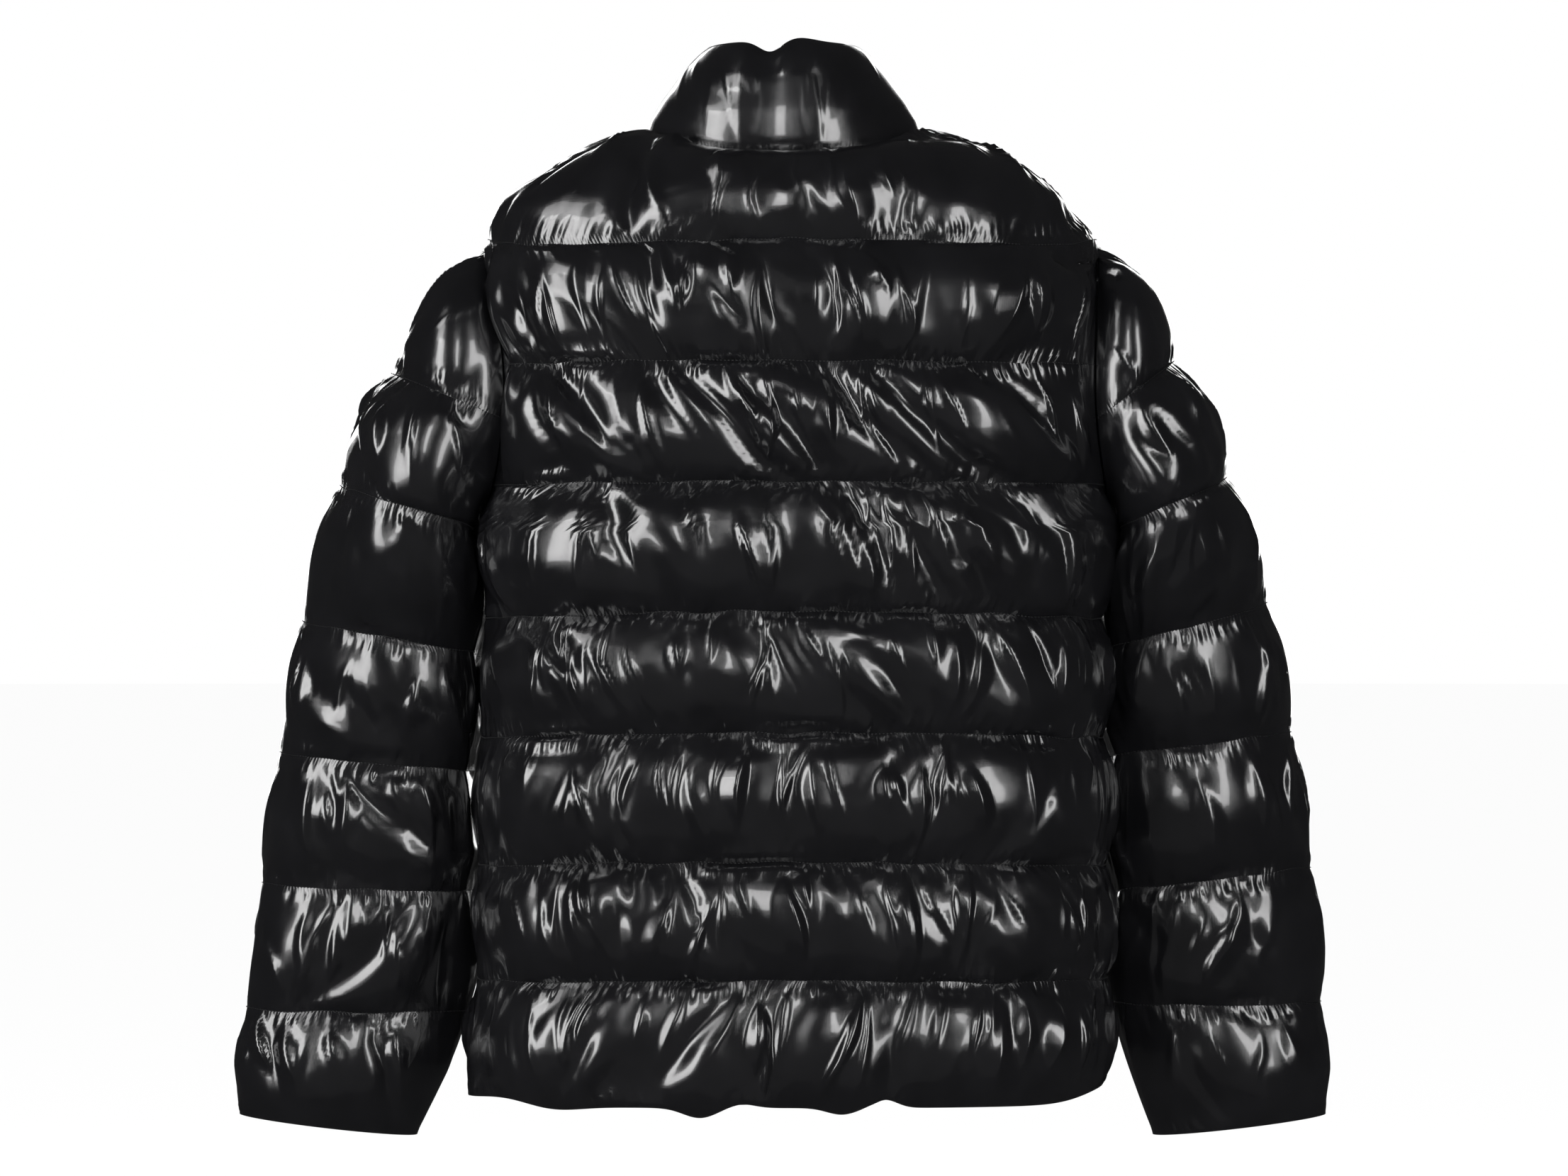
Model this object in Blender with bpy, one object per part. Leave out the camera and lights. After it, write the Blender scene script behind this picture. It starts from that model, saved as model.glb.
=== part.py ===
"""Puffer jacket in its worn, hollow form: quilted back, two fronts, two sleeves, a stand
collar and a closed front zip with a swinging pull.

Metres, +Z up. The front faces -Y and the wearer's left side is +X. The origin is the middle
of the neck opening, level with the points where the shoulders meet the collar.
Every panel is a wall: its inside is plain, and its outside is raised by the padding between
the quilting lines, by the folds and by the gathers.
"""

import math

import bmesh
import bpy
import numpy as np

# ---------------------------------------------------------------- driving sizes
WALL = 0.003              # shell, padding and lining pressed together at a seam
SEAM_GAP = 0.0003         # between pieces that are sewn together
ARMHOLE_GAP = 0.0010      # the same at the armhole, whose two edges curve
UNDERARM_EASE = 0.7       # more of it under the arm, where the edges turn back
SQUARENESS = 2.7          # 2 is an ellipse; the back of a filled jacket is flatter

ROW_STEPS = (0.0, 0.12, 0.35, 0.65, 0.88)    # where a baffle's rows lie, in baffles
UNDERARM_STEPS = (4.70, 4.77)                # more rows where the armhole turns sharply
BACK_COLUMNS = 23         # on each half
FRONT_COLUMNS = 13
SLEEVE_COLUMNS = 26       # all round

UNDERARM = 4.65           # the armhole's lowest and highest points, in baffles above the hem
SHOULDER = 7.0
NECK = 8.0                # the collar seam, in baffles above the hem
BACK_BITE = 27.0          # how far the armhole cuts round into the back, degrees
FRONT_BITE = 31.0
ARMHOLE_ROUNDNESS = 0.6
CROWN_SKIP = 0.574        # the share of the armhole's height where the crown needs no row
SLEEVE_CLEARANCE = 0.0040  # between the sleeve's seam level and the filled trunk beside it
PRESS_SOFTNESS = 0.002     # how gradually a sleeve flattens against the trunk

BODY_LOFT = 0.017         # how far the padding lifts the shell at a baffle's middle
BODY_EDGE_LOFT = 0.22     # the share of it that is left beside a side seam
SLEEVE_LOFT = 0.0135
LOFT_POWER = 0.62         # below 1, a baffle rises steeply beside its seams
SIDE_PRESS = 0.45         # the share of the loft that is pressed flat beside a sleeve
EDGE_REACH = 0.09         # the share of a panel's width over which a side edge is pinched
YOKE_EDGE_REACH = 0.35    # the same beside the shoulder seam

NECK_HALF_WIDTH = 0.100
NECK_BACK_ROUND = 2.0     # like SQUARENESS, for the collar seam
NECK_FRONT_ROUND = 2.7
NECK_BACK = (0.068, -0.024)       # centre back of the collar seam: y, z
NECK_FRONT = (-0.096, -0.060)     # centre front of the collar seam: y, z
SHOULDER_LIFT = 0.0120    # how far the shoulder point stands above the top quilting line's end
SHOULDER_SWEEP = 1.6      # power of the shoulder's slope, from neck to shoulder point
YOKE_ROUND = 0.55         # 0 is a straight yoke, 1 a quarter ellipse

TOP_BACK_ROUND = 2.3      # like SQUARENESS, for the collar's top edge
TOP_FRONT_ROUND = 3.4
COLLAR_TOP_HALF_WIDTH = 0.0575
COLLAR_TOP_BACK = (0.048, 0.0600)     # y, z
COLLAR_TOP_SIDE = (-0.022, 0.0600)
COLLAR_TOP_FRONT = (-0.098, 0.0300)
COLLAR_LOFT = 0.0085
COLLAR_SIDE_LOFT = 0.45   # the share of it at the sides of the neck
COLLAR_INSIDE = 0.005     # from the collar's middle surface to its plain inside

ZIP_HALF = 0.008          # half of the slot between the fronts
ZIP_TOP_DROP = 0.003      # the zip's top end below the collar's top edge
TAPE_HALF = 0.014
TAPE_THICK = 0.0010
TAPE_GAP = 0.0006         # between a tape and the front that it is sewn behind
CHAIN_HALF = 0.0032       # the rows of teeth
CHAIN_THICK = 0.0022

SLIDER_HALF = 0.0043
SLIDER_HIGH = 0.013
SLIDER_GAP = 0.0003       # between its plates and the chain
SLIDER_LEAN = 0.0004      # more room between the plates, as the collar's front leans
PLATE = 0.0014            # the plates' thickness
POST_HIGH = 0.0036        # the post that joins the plates above the chain's end
BAIL_HALF = 0.0009
BAIL_REACH = 0.0030       # the opening's depth in front of the plate
BAIL_THICK = 0.0010
BAIL_FOOT = 0.0015        # from the slider's lower end to the bail, and the bail's own feet
BAIL_OPEN = 0.0060        # the opening's height
PULL_THICK = 0.0016
PULL_ARM = (0.0013, 0.0025)       # inner and outer half-width at the eye
PULL_HALF = 0.0035
PULL_EYE = 0.0078         # from the swing axis down to the bottom of the eye
PULL_LONG = 0.033         # from the swing axis down to the free end

# base colour, roughness, metallic
SHELL = ((0.012, 0.012, 0.013), 0.22, 0.0)
TAPE = ((0.015, 0.015, 0.016), 0.8, 0.0)
METAL = ((0.03, 0.03, 0.032), 0.35, 1.0)

# The trunk at the hem and at each quilting line above it, at seam level.
# side_drop: the row's end above or below its middle. centre_x: the row's middle.
TRUNK = [
    # name     middle_z  side_drop  half_width  centre_x  back_depth  front_depth
    ("hem",     -0.7060,    0.0030,     0.232,   -0.001,      0.110,      0.120),
    ("line_1",  -0.6157,   -0.0040,     0.230,   -0.006,      0.113,      0.126),
    ("line_2",  -0.5309,   -0.0060,     0.229,   -0.006,      0.115,      0.131),
    ("line_3",  -0.4389,   -0.0055,     0.227,   -0.006,      0.117,      0.133),
    ("line_4",  -0.3525,   -0.0055,     0.225,   -0.007,      0.121,      0.135),
    ("line_5",  -0.2607,   -0.0010,     0.228,   -0.011,      0.126,      0.136),
    ("line_6",  -0.1746,   -0.0010,     0.231,   -0.011,      0.127,      0.130),
    ("line_7",  -0.0878,   -0.0060,     0.222,   -0.006,      0.116,      0.113),
]

# Sleeve rings at seam level, from the cuff up to the underarm. Outer is the side away from
# the trunk, inner the side beside it.
LEFT_SLEEVE = [
    # name      outer_x  outer_z  inner_x  inner_z  centre_y  half_depth
    ("cuff",     0.4035, -0.7245,  0.2700, -0.7400,  -0.066,     0.034),
    ("ring_1",   0.3976, -0.6477,  0.2400, -0.6494,  -0.062,     0.041),
    ("ring_2",   0.3853, -0.5558,  0.2320, -0.5600,  -0.056,     0.047),
    ("ring_3",   0.3713, -0.4578,  0.2280, -0.4715,  -0.049,     0.055),
    ("ring_4",   0.3533, -0.3607,  0.2240, -0.3850,  -0.036,     0.064),
]
RIGHT_SLEEVE = [
    ("cuff",     0.4015, -0.7245,  0.2745, -0.7400,  -0.066,     0.034),
    ("ring_1",   0.3970, -0.6430,  0.2500, -0.6430,  -0.062,     0.041),
    ("ring_2",   0.3888, -0.5424,  0.2470, -0.5600,  -0.056,     0.047),
    ("ring_3",   0.3736, -0.4421,  0.2430, -0.4600,  -0.049,     0.055),
    ("ring_4",   0.3545, -0.3474,  0.2370, -0.3830,  -0.036,     0.064),
]
# The crown of the sleeve, from the underarm ring to the shoulder. rise: the share of the
# armhole's height at which the row meets it. The outer point runs down the sleeve's outside.
LEFT_CROWN = [
    # name       rise  outer_x  outer_z  centre_y  half_depth
    ("ring_5",   0.00,  0.3225, -0.2620,   0.000,     0.080),
    ("upper_arm", 0.17, 0.3060, -0.2190,  -0.002,     0.084),
    ("ring_6",   0.38,  0.2860, -0.1790,  -0.003,     0.084),
    ("cap",      0.64,  0.2550, -0.1350,  -0.002,     0.074),
    ("shoulder", 0.949,  0.2180, -0.0900,   0.000,     0.040),
]
RIGHT_CROWN = [
    ("ring_5",   0.00,  0.3215, -0.2560,   0.000,     0.080),
    ("upper_arm", 0.17, 0.3045, -0.2130,  -0.002,     0.084),
    ("ring_6",   0.38,  0.2840, -0.1700,  -0.003,     0.084),
    ("cap",      0.64,  0.2590, -0.1260,  -0.002,     0.074),
    ("shoulder", 0.949,  0.2300, -0.0900,   0.000,     0.040),
]

# Folds of the back: across is metres from the centre line towards the wearer's left,
# low and high are baffles above the hem, lean is how far the fold shifts across on its way
# up, and depth is negative for a trough.
BACK_FOLDS = [
    # across    low   high    lean   width   depth
    (0.098,    7.06,  7.80,  0.016,  0.016, -0.0050),
    (-0.090,   7.06,  7.60, -0.014,  0.018, -0.0040),
    (0.086,    6.08,  6.92,  0.014,  0.016, -0.0050),
    (0.030,    6.10,  6.95, -0.006,  0.016,  0.0045),
    (-0.004,   6.10,  6.90,  0.004,  0.014, -0.0050),
    (-0.070,   6.10,  6.92, -0.014,  0.016,  0.0045),
    (-0.118,   6.10,  6.90, -0.010,  0.016, -0.0045),
    (-0.175,   6.08,  6.85, -0.012,  0.018,  0.0050),
    (0.145,    5.10,  5.95,  0.004,  0.018,  0.0045),
    (0.075,    5.05,  5.95,  0.022,  0.016, -0.0050),
    (0.010,    5.10,  5.90,  0.018,  0.016,  0.0045),
    (-0.060,   5.05,  5.92,  0.028,  0.016, -0.0050),
    (-0.140,   5.10,  5.90,  0.020,  0.018,  0.0050),
    (0.120,    4.05,  4.92,  0.016,  0.016, -0.0045),
    (0.072,    4.10,  4.92,  0.020,  0.015,  0.0045),
    (0.000,    4.10,  4.95,  0.004,  0.015, -0.0045),
    (-0.062,   4.05,  4.95,  0.018,  0.015, -0.0050),
    (-0.150,   4.10,  4.90,  0.016,  0.018,  0.0045),
    (0.165,    3.25,  3.95,  0.020,  0.018,  0.0045),
    (0.085,    3.20,  3.95,  0.008,  0.015, -0.0045),
    (0.012,    3.15,  3.95,  0.014,  0.015, -0.0050),
    (-0.048,   3.20,  3.95, -0.008,  0.015,  0.0040),
    (-0.130,   3.15,  3.95,  0.020,  0.016, -0.0045),
    (0.150,    2.30,  2.95, -0.018,  0.017,  0.0045),
    (0.080,    2.20,  2.95, -0.016,  0.016, -0.0045),
    (0.005,    2.20,  2.95,  0.008,  0.014, -0.0050),
    (-0.090,   2.20,  2.95,  0.016,  0.016, -0.0040),
    (0.140,    1.35,  1.95, -0.020,  0.017,  0.0040),
    (-0.010,   1.20,  1.95,  0.014,  0.016, -0.0045),
    (-0.110,   1.10,  1.80,  0.024,  0.018, -0.0040),
    (0.110,    0.10,  0.90,  0.022,  0.018, -0.0040),
    (0.058,    0.02,  0.60,  0.010,  0.014,  0.0060),
    (0.006,    0.02,  0.95, -0.006,  0.016, -0.0085),
    (-0.042,   0.02,  0.50,  0.010,  0.014,  0.0050),
    (-0.072,   0.02,  0.70,  0.018,  0.012, -0.0065),
    (-0.160,   0.15,  0.95,  0.030,  0.018, -0.0045),
]
# How far the hem's edge sinks (negative) or lifts at a gather.
HEM_GATHERS = [
    # across   half_width  lift
    (0.205,      0.030,   0.0050),
    (0.165,      0.026,  -0.0030),
    (0.060,      0.016,  -0.0075),
    (0.030,      0.012,   0.0030),
    (-0.041,     0.014,  -0.0050),
    (-0.072,     0.011,   0.0065),
    (-0.215,     0.028,   0.0100),
]
# The collar's section: how full its outside and how deep its inside is at a share of its
# height.
COLLAR_ROWS = [
    # height  outside  inside
    (0.004,    0.00,    0.60),
    (0.10,     0.55,    0.80),
    (0.34,     0.98,    1.00),
    (0.66,     0.98,    1.00),
    (0.91,     0.58,    0.75),
    (1.00,     0.05,    0.40),
]
COLLAR_KEPT = [0, 2, 3, len(COLLAR_ROWS) - 1]     # the rows that its plain inside keeps
# The pinch at the centre back of the collar's top edge, and the fold beside it.
COLLAR_PINCH = [
    # across   half_width  lift
    (0.010,      0.010,  -0.0085),
    (-0.012,     0.012,   0.0025),
]


# ---------------------------------------------------------------- tables and curves
def column(table, index, at):
    """A table's column read at a fractional row, on a smooth curve through its rows."""
    values = [row[index] for row in table]
    last = len(values) - 1
    low = min(max(int(math.floor(at)), 0), last - 1)
    share = min(max(at - low, 0.0), 1.0)
    p1, p2 = values[low], values[low + 1]
    p0 = values[low - 1] if low > 0 else 2 * p1 - p2
    p3 = values[low + 2] if low + 2 <= last else 2 * p2 - p1
    bend = 2 * p0 - 5 * p1 + 4 * p2 - p3
    twist = 3 * (p1 - p2) + p3 - p0
    return p1 + 0.5 * share * (p2 - p0 + share * (bend + share * twist))


def spread(points, shares):
    """Points at the given shares of a curve's length."""
    points = np.asarray(points, float)
    steps = np.linalg.norm(np.diff(points, axis=0), axis=1)
    run = np.concatenate([[0.0], np.cumsum(steps)])
    at = np.asarray(shares) * run[-1]
    return np.stack([np.interp(at, run, points[:, k]) for k in range(3)], axis=1)


def quarter(end, roundness, count=120):
    """Shares (0 to 1) across and along a rounded quarter turn."""
    angle = np.linspace(0.0, end, count)
    power = 2 / roundness
    return np.abs(np.sin(angle)) ** power, np.abs(np.cos(angle)) ** power


def smooth(x):
    """A smooth step from 0 to 1."""
    x = np.clip(x, 0.0, 1.0)
    return x * x * (3 - 2 * x)


# ---------------------------------------------------------------- the trunk's surface
def side_angle(level, bite):
    """How far round from the centre line a row ends: 90 degrees at the side seam, and less
    where the armhole bites in."""
    rise = (level - UNDERARM) / (SHOULDER - UNDERARM)
    if not 0 < rise < 1:
        return math.radians(90)
    return math.radians(90 - bite * math.sin(math.pi * rise) ** ARMHOLE_ROUNDNESS)


def trunk_row(level, face, side, shares):
    """A horizontal row of the trunk, from the centre line to its side end.

    face is 1 for the back and -1 for a front; side is 1 for the wearer's left.
    """
    middle_z, drop, half_width, centre_x, back_depth, front_depth = (
        column(TRUNK, index, level) for index in range(1, 7)
    )
    depth, bite = (back_depth, BACK_BITE) if face > 0 else (front_depth, FRONT_BITE)
    across, along = quarter(side_angle(level, bite), SQUARENESS)
    x = centre_x + side * half_width * across
    lift = SHOULDER_LIFT * min(max(level - SHOULDER + 1, 0), 1) ** 2
    z = middle_z + drop * across ** 2 + lift * across ** 10
    points = np.stack([x, face * depth * along, z], axis=1)
    if face < 0:
        points = points[np.abs(points[:, 0]) > ZIP_HALF]
        points = points[side * points[:, 0] > 0]
        first = points[0].copy()
        first[0] = side * ZIP_HALF
        points = np.vstack([first, points])
    return spread(points, shares)


def neck_row(face, side, shares):
    """The collar seam from the centre line to the neck point."""
    across, along = quarter(math.pi / 2, NECK_BACK_ROUND if face > 0 else NECK_FRONT_ROUND)
    middle = NECK_BACK if face > 0 else NECK_FRONT
    x = side * NECK_HALF_WIDTH * across
    z = middle[1] * along ** 1.3
    points = np.stack([x, middle[0] * along, z], axis=1)
    if face < 0:
        points = points[np.abs(points[:, 0]) > ZIP_HALF]
        first = points[0].copy()
        first[0] = side * ZIP_HALF
        points = np.vstack([first, points])
    return spread(points, shares)


def shoulder_seam(side, shares):
    """The shoulder seam, from the shoulder point up to the neck point."""
    start = trunk_row(SHOULDER, 1, side, [1.0])[0]
    end = np.array([side * NECK_HALF_WIDTH, 0.0, 0.0])
    share = np.linspace(1.0, 0.0, 60)
    x = end[0] + (start[0] - end[0]) * share
    z = start[2] * share ** SHOULDER_SWEEP
    return spread(np.stack([x, np.zeros_like(x), z], axis=1), shares)


def yoke_middle(low, high, shares):
    """The centre line of the yoke: between a straight line and a quarter ellipse."""
    angle = np.linspace(0, math.pi / 2, 60)
    over, up = 1 - np.cos(angle), np.sin(angle)
    straight = np.linspace(0, 1, 60)
    over = YOKE_ROUND * over + (1 - YOKE_ROUND) * straight
    up = YOKE_ROUND * up + (1 - YOKE_ROUND) * straight
    rise = np.stack([over, over, up], axis=1)
    return spread(low + (high - low) * rise, shares)


def yoke_row(share, face, side, shares):
    """A row of the yoke: a patch spanned by the top quilting line, the collar seam, the
    centre line and the shoulder seam."""
    low, high = trunk_row(SHOULDER, face, side, shares), neck_row(face, side, shares)
    middle = yoke_middle(low[0], high[0], [share])[0]
    end = shoulder_seam(side, [share])[0]
    t = np.asarray(shares)[:, None]
    rows = (1 - share) * low + share * high
    sides = (1 - t) * middle + t * end
    corners = (1 - t) * ((1 - share) * low[0] + share * high[0]) + t * (
        (1 - share) * low[-1] + share * high[-1]
    )
    return rows + sides - corners


def trunk_levels():
    """Row levels, in baffles above the hem, closer together beside the seams."""
    levels = [baffle + step for baffle in range(int(NECK)) for step in ROW_STEPS]
    return sorted([*levels, *UNDERARM_STEPS, NECK])


def half_panel(face, side, columns):
    """Base points of half of the trunk's back, or of one front, at seam level."""
    shares = np.linspace(0, 1, columns + 1)
    rows = []
    for level in trunk_levels():
        if level <= SHOULDER:
            rows.append(trunk_row(level, face, side, shares))
        else:
            rows.append(yoke_row(level - SHOULDER, face, side, shares))
    return np.array(rows)


def outward(grid, flip):
    """Unit normals of a grid of base points."""
    normal = np.cross(np.gradient(grid, axis=1), np.gradient(grid, axis=0)) * flip
    return normal / np.maximum(np.linalg.norm(normal, axis=2, keepdims=True), 1e-12)


def level_edges(normal, levels):
    """Makes the normals at side and shoulder seams lie in the seam's own plane, so that
    the two panels that meet there keep their gap."""
    for row, level in enumerate(levels):
        if UNDERARM < level < SHOULDER:
            continue
        for col in (0, -1):
            normal[row, col, 1] = 0
            normal[row, col] /= np.linalg.norm(normal[row, col])
    return normal


# ---------------------------------------------------------------- padding and folds
def baffle_loft(levels):
    """0 at a quilting line and 1 in the middle of a baffle, for each row."""
    share = np.array(levels) % 1.0
    return np.sin(math.pi * share) ** LOFT_POWER


def edge_share(levels):
    """The share of the loft at a panel's side edge: none at the armhole."""
    below = np.clip((UNDERARM - 0.15 - np.array(levels)) / 0.5, 0, 1)
    above = np.clip((np.array(levels) - SHOULDER) / 0.3, 0, 1)
    return BODY_EDGE_LOFT * np.maximum(below, above)


def edge_pinch(columns, left, right, reach=EDGE_REACH):
    """The share of the loft across a panel, for each row: full inside, and as given at the
    row's two ends. reach is the share of the row over which an end pinches it."""
    t = np.linspace(0, 1, columns + 1)[None, :]
    reach = np.reshape(reach, (-1, 1))
    return (
        1
        - (1 - np.reshape(left, (-1, 1))) * (1 - smooth(t / reach))
        - (1 - np.reshape(right, (-1, 1))) * (1 - smooth((1 - t) / reach))
    )


def yoke_reach(levels):
    """How far a side edge pinches each row: further in the yoke, towards the shoulder."""
    share = smooth((np.array(levels) - SHOULDER) / 0.65)
    return EDGE_REACH + (YOKE_EDGE_REACH - EDGE_REACH) * share


def pressed_share(normal, levels):
    """What the sleeves leave of the loft: less where the trunk faces them."""
    facing = smooth((np.abs(normal[:, :, 0]) - 0.40) / 0.5)
    beside = np.clip((SHOULDER - 1 - np.array(levels)) / 0.5, 0, 1)[:, None]
    return 1 - SIDE_PRESS * facing * beside


def fold_relief(across, level, folds):
    """Height of the folds at a point of a panel."""
    relief = np.zeros_like(across)
    for place, low, high, lean, width, depth in folds:
        share = (level - low) / (high - low)
        centre = place + lean * (share - 0.5)
        ends = np.clip(np.sin(math.pi * np.clip(share, 0, 1)), 0, 1) ** 0.5
        relief += depth * ends * np.exp(-(((across - centre) / width) ** 2))
    return relief


def gather_lift(across, gathers):
    """How far gathers move the hem's edge up or down."""
    lift = np.zeros_like(across)
    for place, half_width, height in gathers:
        lift += height * np.exp(-(((across - place) / half_width) ** 2))
    return lift


# ---------------------------------------------------------------- walls
def link(name, mesh_data, colour, roughness, metallic):
    """A named object of a bmesh, with its material."""
    bmesh.ops.recalc_face_normals(mesh_data, faces=mesh_data.faces)
    mesh = bpy.data.meshes.new(name)
    mesh_data.to_mesh(mesh)
    mesh_data.free()
    mesh.shade_smooth()
    mesh.set_sharp_from_angle(angle=math.radians(50))
    mesh.materials.append(finish(name + "_finish", colour, roughness, metallic))
    obj = bpy.data.objects.new(name, mesh)
    bpy.context.scene.collection.objects.link(obj)
    return obj


def finish(name, colour, roughness, metallic):
    """A plain material."""
    made = bpy.data.materials.new(name)
    made.use_nodes = True
    shader = made.node_tree.nodes["Principled BSDF"]
    shader.inputs["Base Color"].default_value = (*colour, 1)
    shader.inputs["Roughness"].default_value = roughness
    shader.inputs["Metallic"].default_value = metallic
    return made


def vertex_rows(mesh_data, grid, rings):
    """Vertices of a grid; rows before `rings` are closed, so their ends share a vertex."""
    rows = []
    for index, points in enumerate(grid):
        closed = index < rings
        verts = [mesh_data.verts.new(p) for p in (points[:-1] if closed else points)]
        rows.append(verts + [verts[0]] if closed else verts)
    return rows


def fill_between(mesh_data, first, second):
    """Faces between two rows of vertices that run the same way."""
    for a, b, c, d in zip(first, first[1:], second[1:], second):
        corners = list(dict.fromkeys((a, b, c, d)))
        if len(corners) > 2:
            mesh_data.faces.new(corners)


def wall(outer, inner, kept, rings):
    """A closed wall. outer has every row; inner has the rows whose numbers are in kept.
    Rows before `rings` are closed rings, and the rest are open, with a rim at each end."""
    mesh_data = bmesh.new()
    outside = vertex_rows(mesh_data, outer, rings)
    inside = vertex_rows(mesh_data, inner, sum(row < rings for row in kept))
    for low, high in zip(outside, outside[1:]):
        fill_between(mesh_data, low, high)
    for low, high in zip(inside, inside[1:]):
        fill_between(mesh_data, low, high)
    fill_between(mesh_data, outside[0], inside[0])
    fill_between(mesh_data, outside[-1], inside[-1])
    for index, (low, high) in enumerate(zip(kept, kept[1:])):
        if high < rings:
            continue
        for end in (0, -1):
            edge = [outside[row][end] for row in range(low, high + 1)]
            edge += [inside[index + 1][end], inside[index][end]]
            edge = list(dict.fromkeys(edge))
            mesh_data.faces.new(edge)
    return mesh_data


def inside_rows(levels):
    """The rows that the plain inside keeps: the quilting lines, and more at the armhole."""
    kept = []
    for row, level in enumerate(levels):
        on_line = abs(level - round(level)) < 1e-6
        beside_armhole = UNDERARM + 0.5 < level <= SHOULDER and row % 2 == 1
        under_shoulder = SHOULDER - 0.4 < level < SHOULDER
        under_arm = abs(level - UNDERARM) < 0.24
        in_yoke = SHOULDER < level < NECK
        if on_line or beside_armhole or under_shoulder or under_arm or in_yoke:
            kept.append(row)
    return kept


def trim_edges(grid, start, end):
    """Draws the first and last columns back along the rows by half a seam gap."""
    for col, beside, gap in ((0, 1, start), (-1, -2, end)):
        step = grid[:, beside] - grid[:, col]
        grid[:, col] += step / np.linalg.norm(step, axis=1, keepdims=True) * gap
    return grid


def back_grids():
    """Base points, normals and outer points of the back."""
    levels = trunk_levels()
    left, right = half_panel(1, 1, BACK_COLUMNS), half_panel(1, -1, BACK_COLUMNS)
    grid = np.concatenate([left[:, ::-1], right[:, 1:]], axis=1)
    grid = trim_edges(grid, SEAM_GAP / 2, SEAM_GAP / 2)
    normal = level_edges(outward(grid, 1), levels)
    edge = edge_share(levels)
    pinch = edge_pinch(2 * BACK_COLUMNS, edge, edge, yoke_reach(levels) / 2)
    pinch *= pressed_share(normal, levels)
    loft = BODY_LOFT * baffle_loft(levels)[:, None] * pinch
    level_grid = np.repeat(np.array(levels)[:, None], grid.shape[1], axis=1)
    relief = fold_relief(grid[:, :, 0], level_grid, BACK_FOLDS)
    relief *= np.sqrt(np.clip(loft / BODY_LOFT, 0, 1))
    outer = grid + (loft + relief)[:, :, None] * normal
    return levels, grid, normal, outer


def build_back():
    """The back, whose hem also rises and sinks at its gathers."""
    levels, grid, normal, outer = back_grids()
    inner = grid - WALL * normal
    lift = gather_lift(grid[:, :, 0], HEM_GATHERS)
    fade = np.clip(1 - np.array(levels)[:, None] / 0.6, 0, 1) ** 1.5
    outer[:, :, 2] += lift * fade
    inner[0, :, 2] += lift[0]
    kept = inside_rows(levels)
    return link("back", wall(outer, inner[kept], kept, 0), *SHELL)


def front_grids(side):
    """Base points, normals and outer points of a front, from the zip to the side."""
    levels = trunk_levels()
    grid = half_panel(-1, side, FRONT_COLUMNS)
    grid = trim_edges(grid, 0.0, SEAM_GAP / 2)
    normal = outward(grid, side)
    normal[:, -1] = level_edges(normal.copy(), levels)[:, -1]
    normal[:, 0, 0] = 0
    normal[:, 0] /= np.linalg.norm(normal[:, 0], axis=1, keepdims=True)
    pinch = edge_pinch(FRONT_COLUMNS, 0.0, edge_share(levels), yoke_reach(levels))
    pinch *= pressed_share(normal, levels)
    loft = BODY_LOFT * baffle_loft(levels)[:, None] * pinch
    return levels, grid, normal, grid + loft[:, :, None] * normal


def build_front(side, name):
    """A front panel beside the zip."""
    levels, grid, normal, outer = front_grids(side)
    kept = inside_rows(levels)
    inner = (grid - WALL * normal)[kept]
    return link(name, wall(outer, inner, kept, 0), *SHELL)


# ---------------------------------------------------------------- sleeves
def sleeve_half(end, outer, half_depth, shares):
    """Half of a sleeve's row: from its inner end round to its outer point."""
    reach = abs(end[1] - outer[1])
    depth = max(half_depth, reach + 0.0005)
    way = 1 if end[1] >= outer[1] else -1
    start = math.asin(reach / depth)
    half_width = (outer[0] - end[0]) / (1 + math.cos(start))
    angle = np.linspace(start, math.pi, 90)
    x = outer[0] - half_width * (1 + np.cos(angle))
    share = (x - end[0]) / (outer[0] - end[0])
    z = end[2] + (outer[2] - end[2]) * share
    points = np.stack([x, outer[1] + way * depth * np.sin(angle), z], axis=1)
    return spread(points, shares)


def sleeve_row(back_end, front_end, outer, half_depth, columns):
    """A row from the back end round the outside to the front end. A closed ring's ends are
    one point, on the sleeve's inner side."""
    shares = np.linspace(0, 1, columns // 2 + 1)
    nudge = np.array([0.0, 1e-9, 0.0])
    back = sleeve_half(back_end + nudge, outer, half_depth, shares)
    front = sleeve_half(front_end - nudge, outer, half_depth, shares)
    return np.concatenate([back, front[::-1][1:]])


def crown_rises(quilting):
    """Where the crown's rows meet the armhole: at the trunk's own rows, so that both edges
    turn at the same points, and at the crown's quilting line."""
    levels = [level for level in trunk_levels() if UNDERARM - 1e-6 < level < SHOULDER - 0.2]
    rises = [(level - UNDERARM) / (SHOULDER - UNDERARM) for level in levels]
    others = [
        rise for rise in rises
        if abs(rise - quilting) > 0.03 and abs(rise - CROWN_SKIP) > 0.02
    ]
    return sorted([quilting, *others])


def top_rises():
    """Where the points of the crown's last row meet the armhole, from its back end over the
    shoulder to its front end. They include the trunk's own rows there."""
    half = SLEEVE_COLUMNS // 2
    levels = [SHOULDER, SHOULDER - 0.12, SHOULDER - 0.29]
    away = np.abs(np.linspace(-half, half, SLEEVE_COLUMNS + 1))
    level = np.interp(away, [0, half - 5, half], levels)
    return (level - UNDERARM) / (SHOULDER - UNDERARM)


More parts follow.
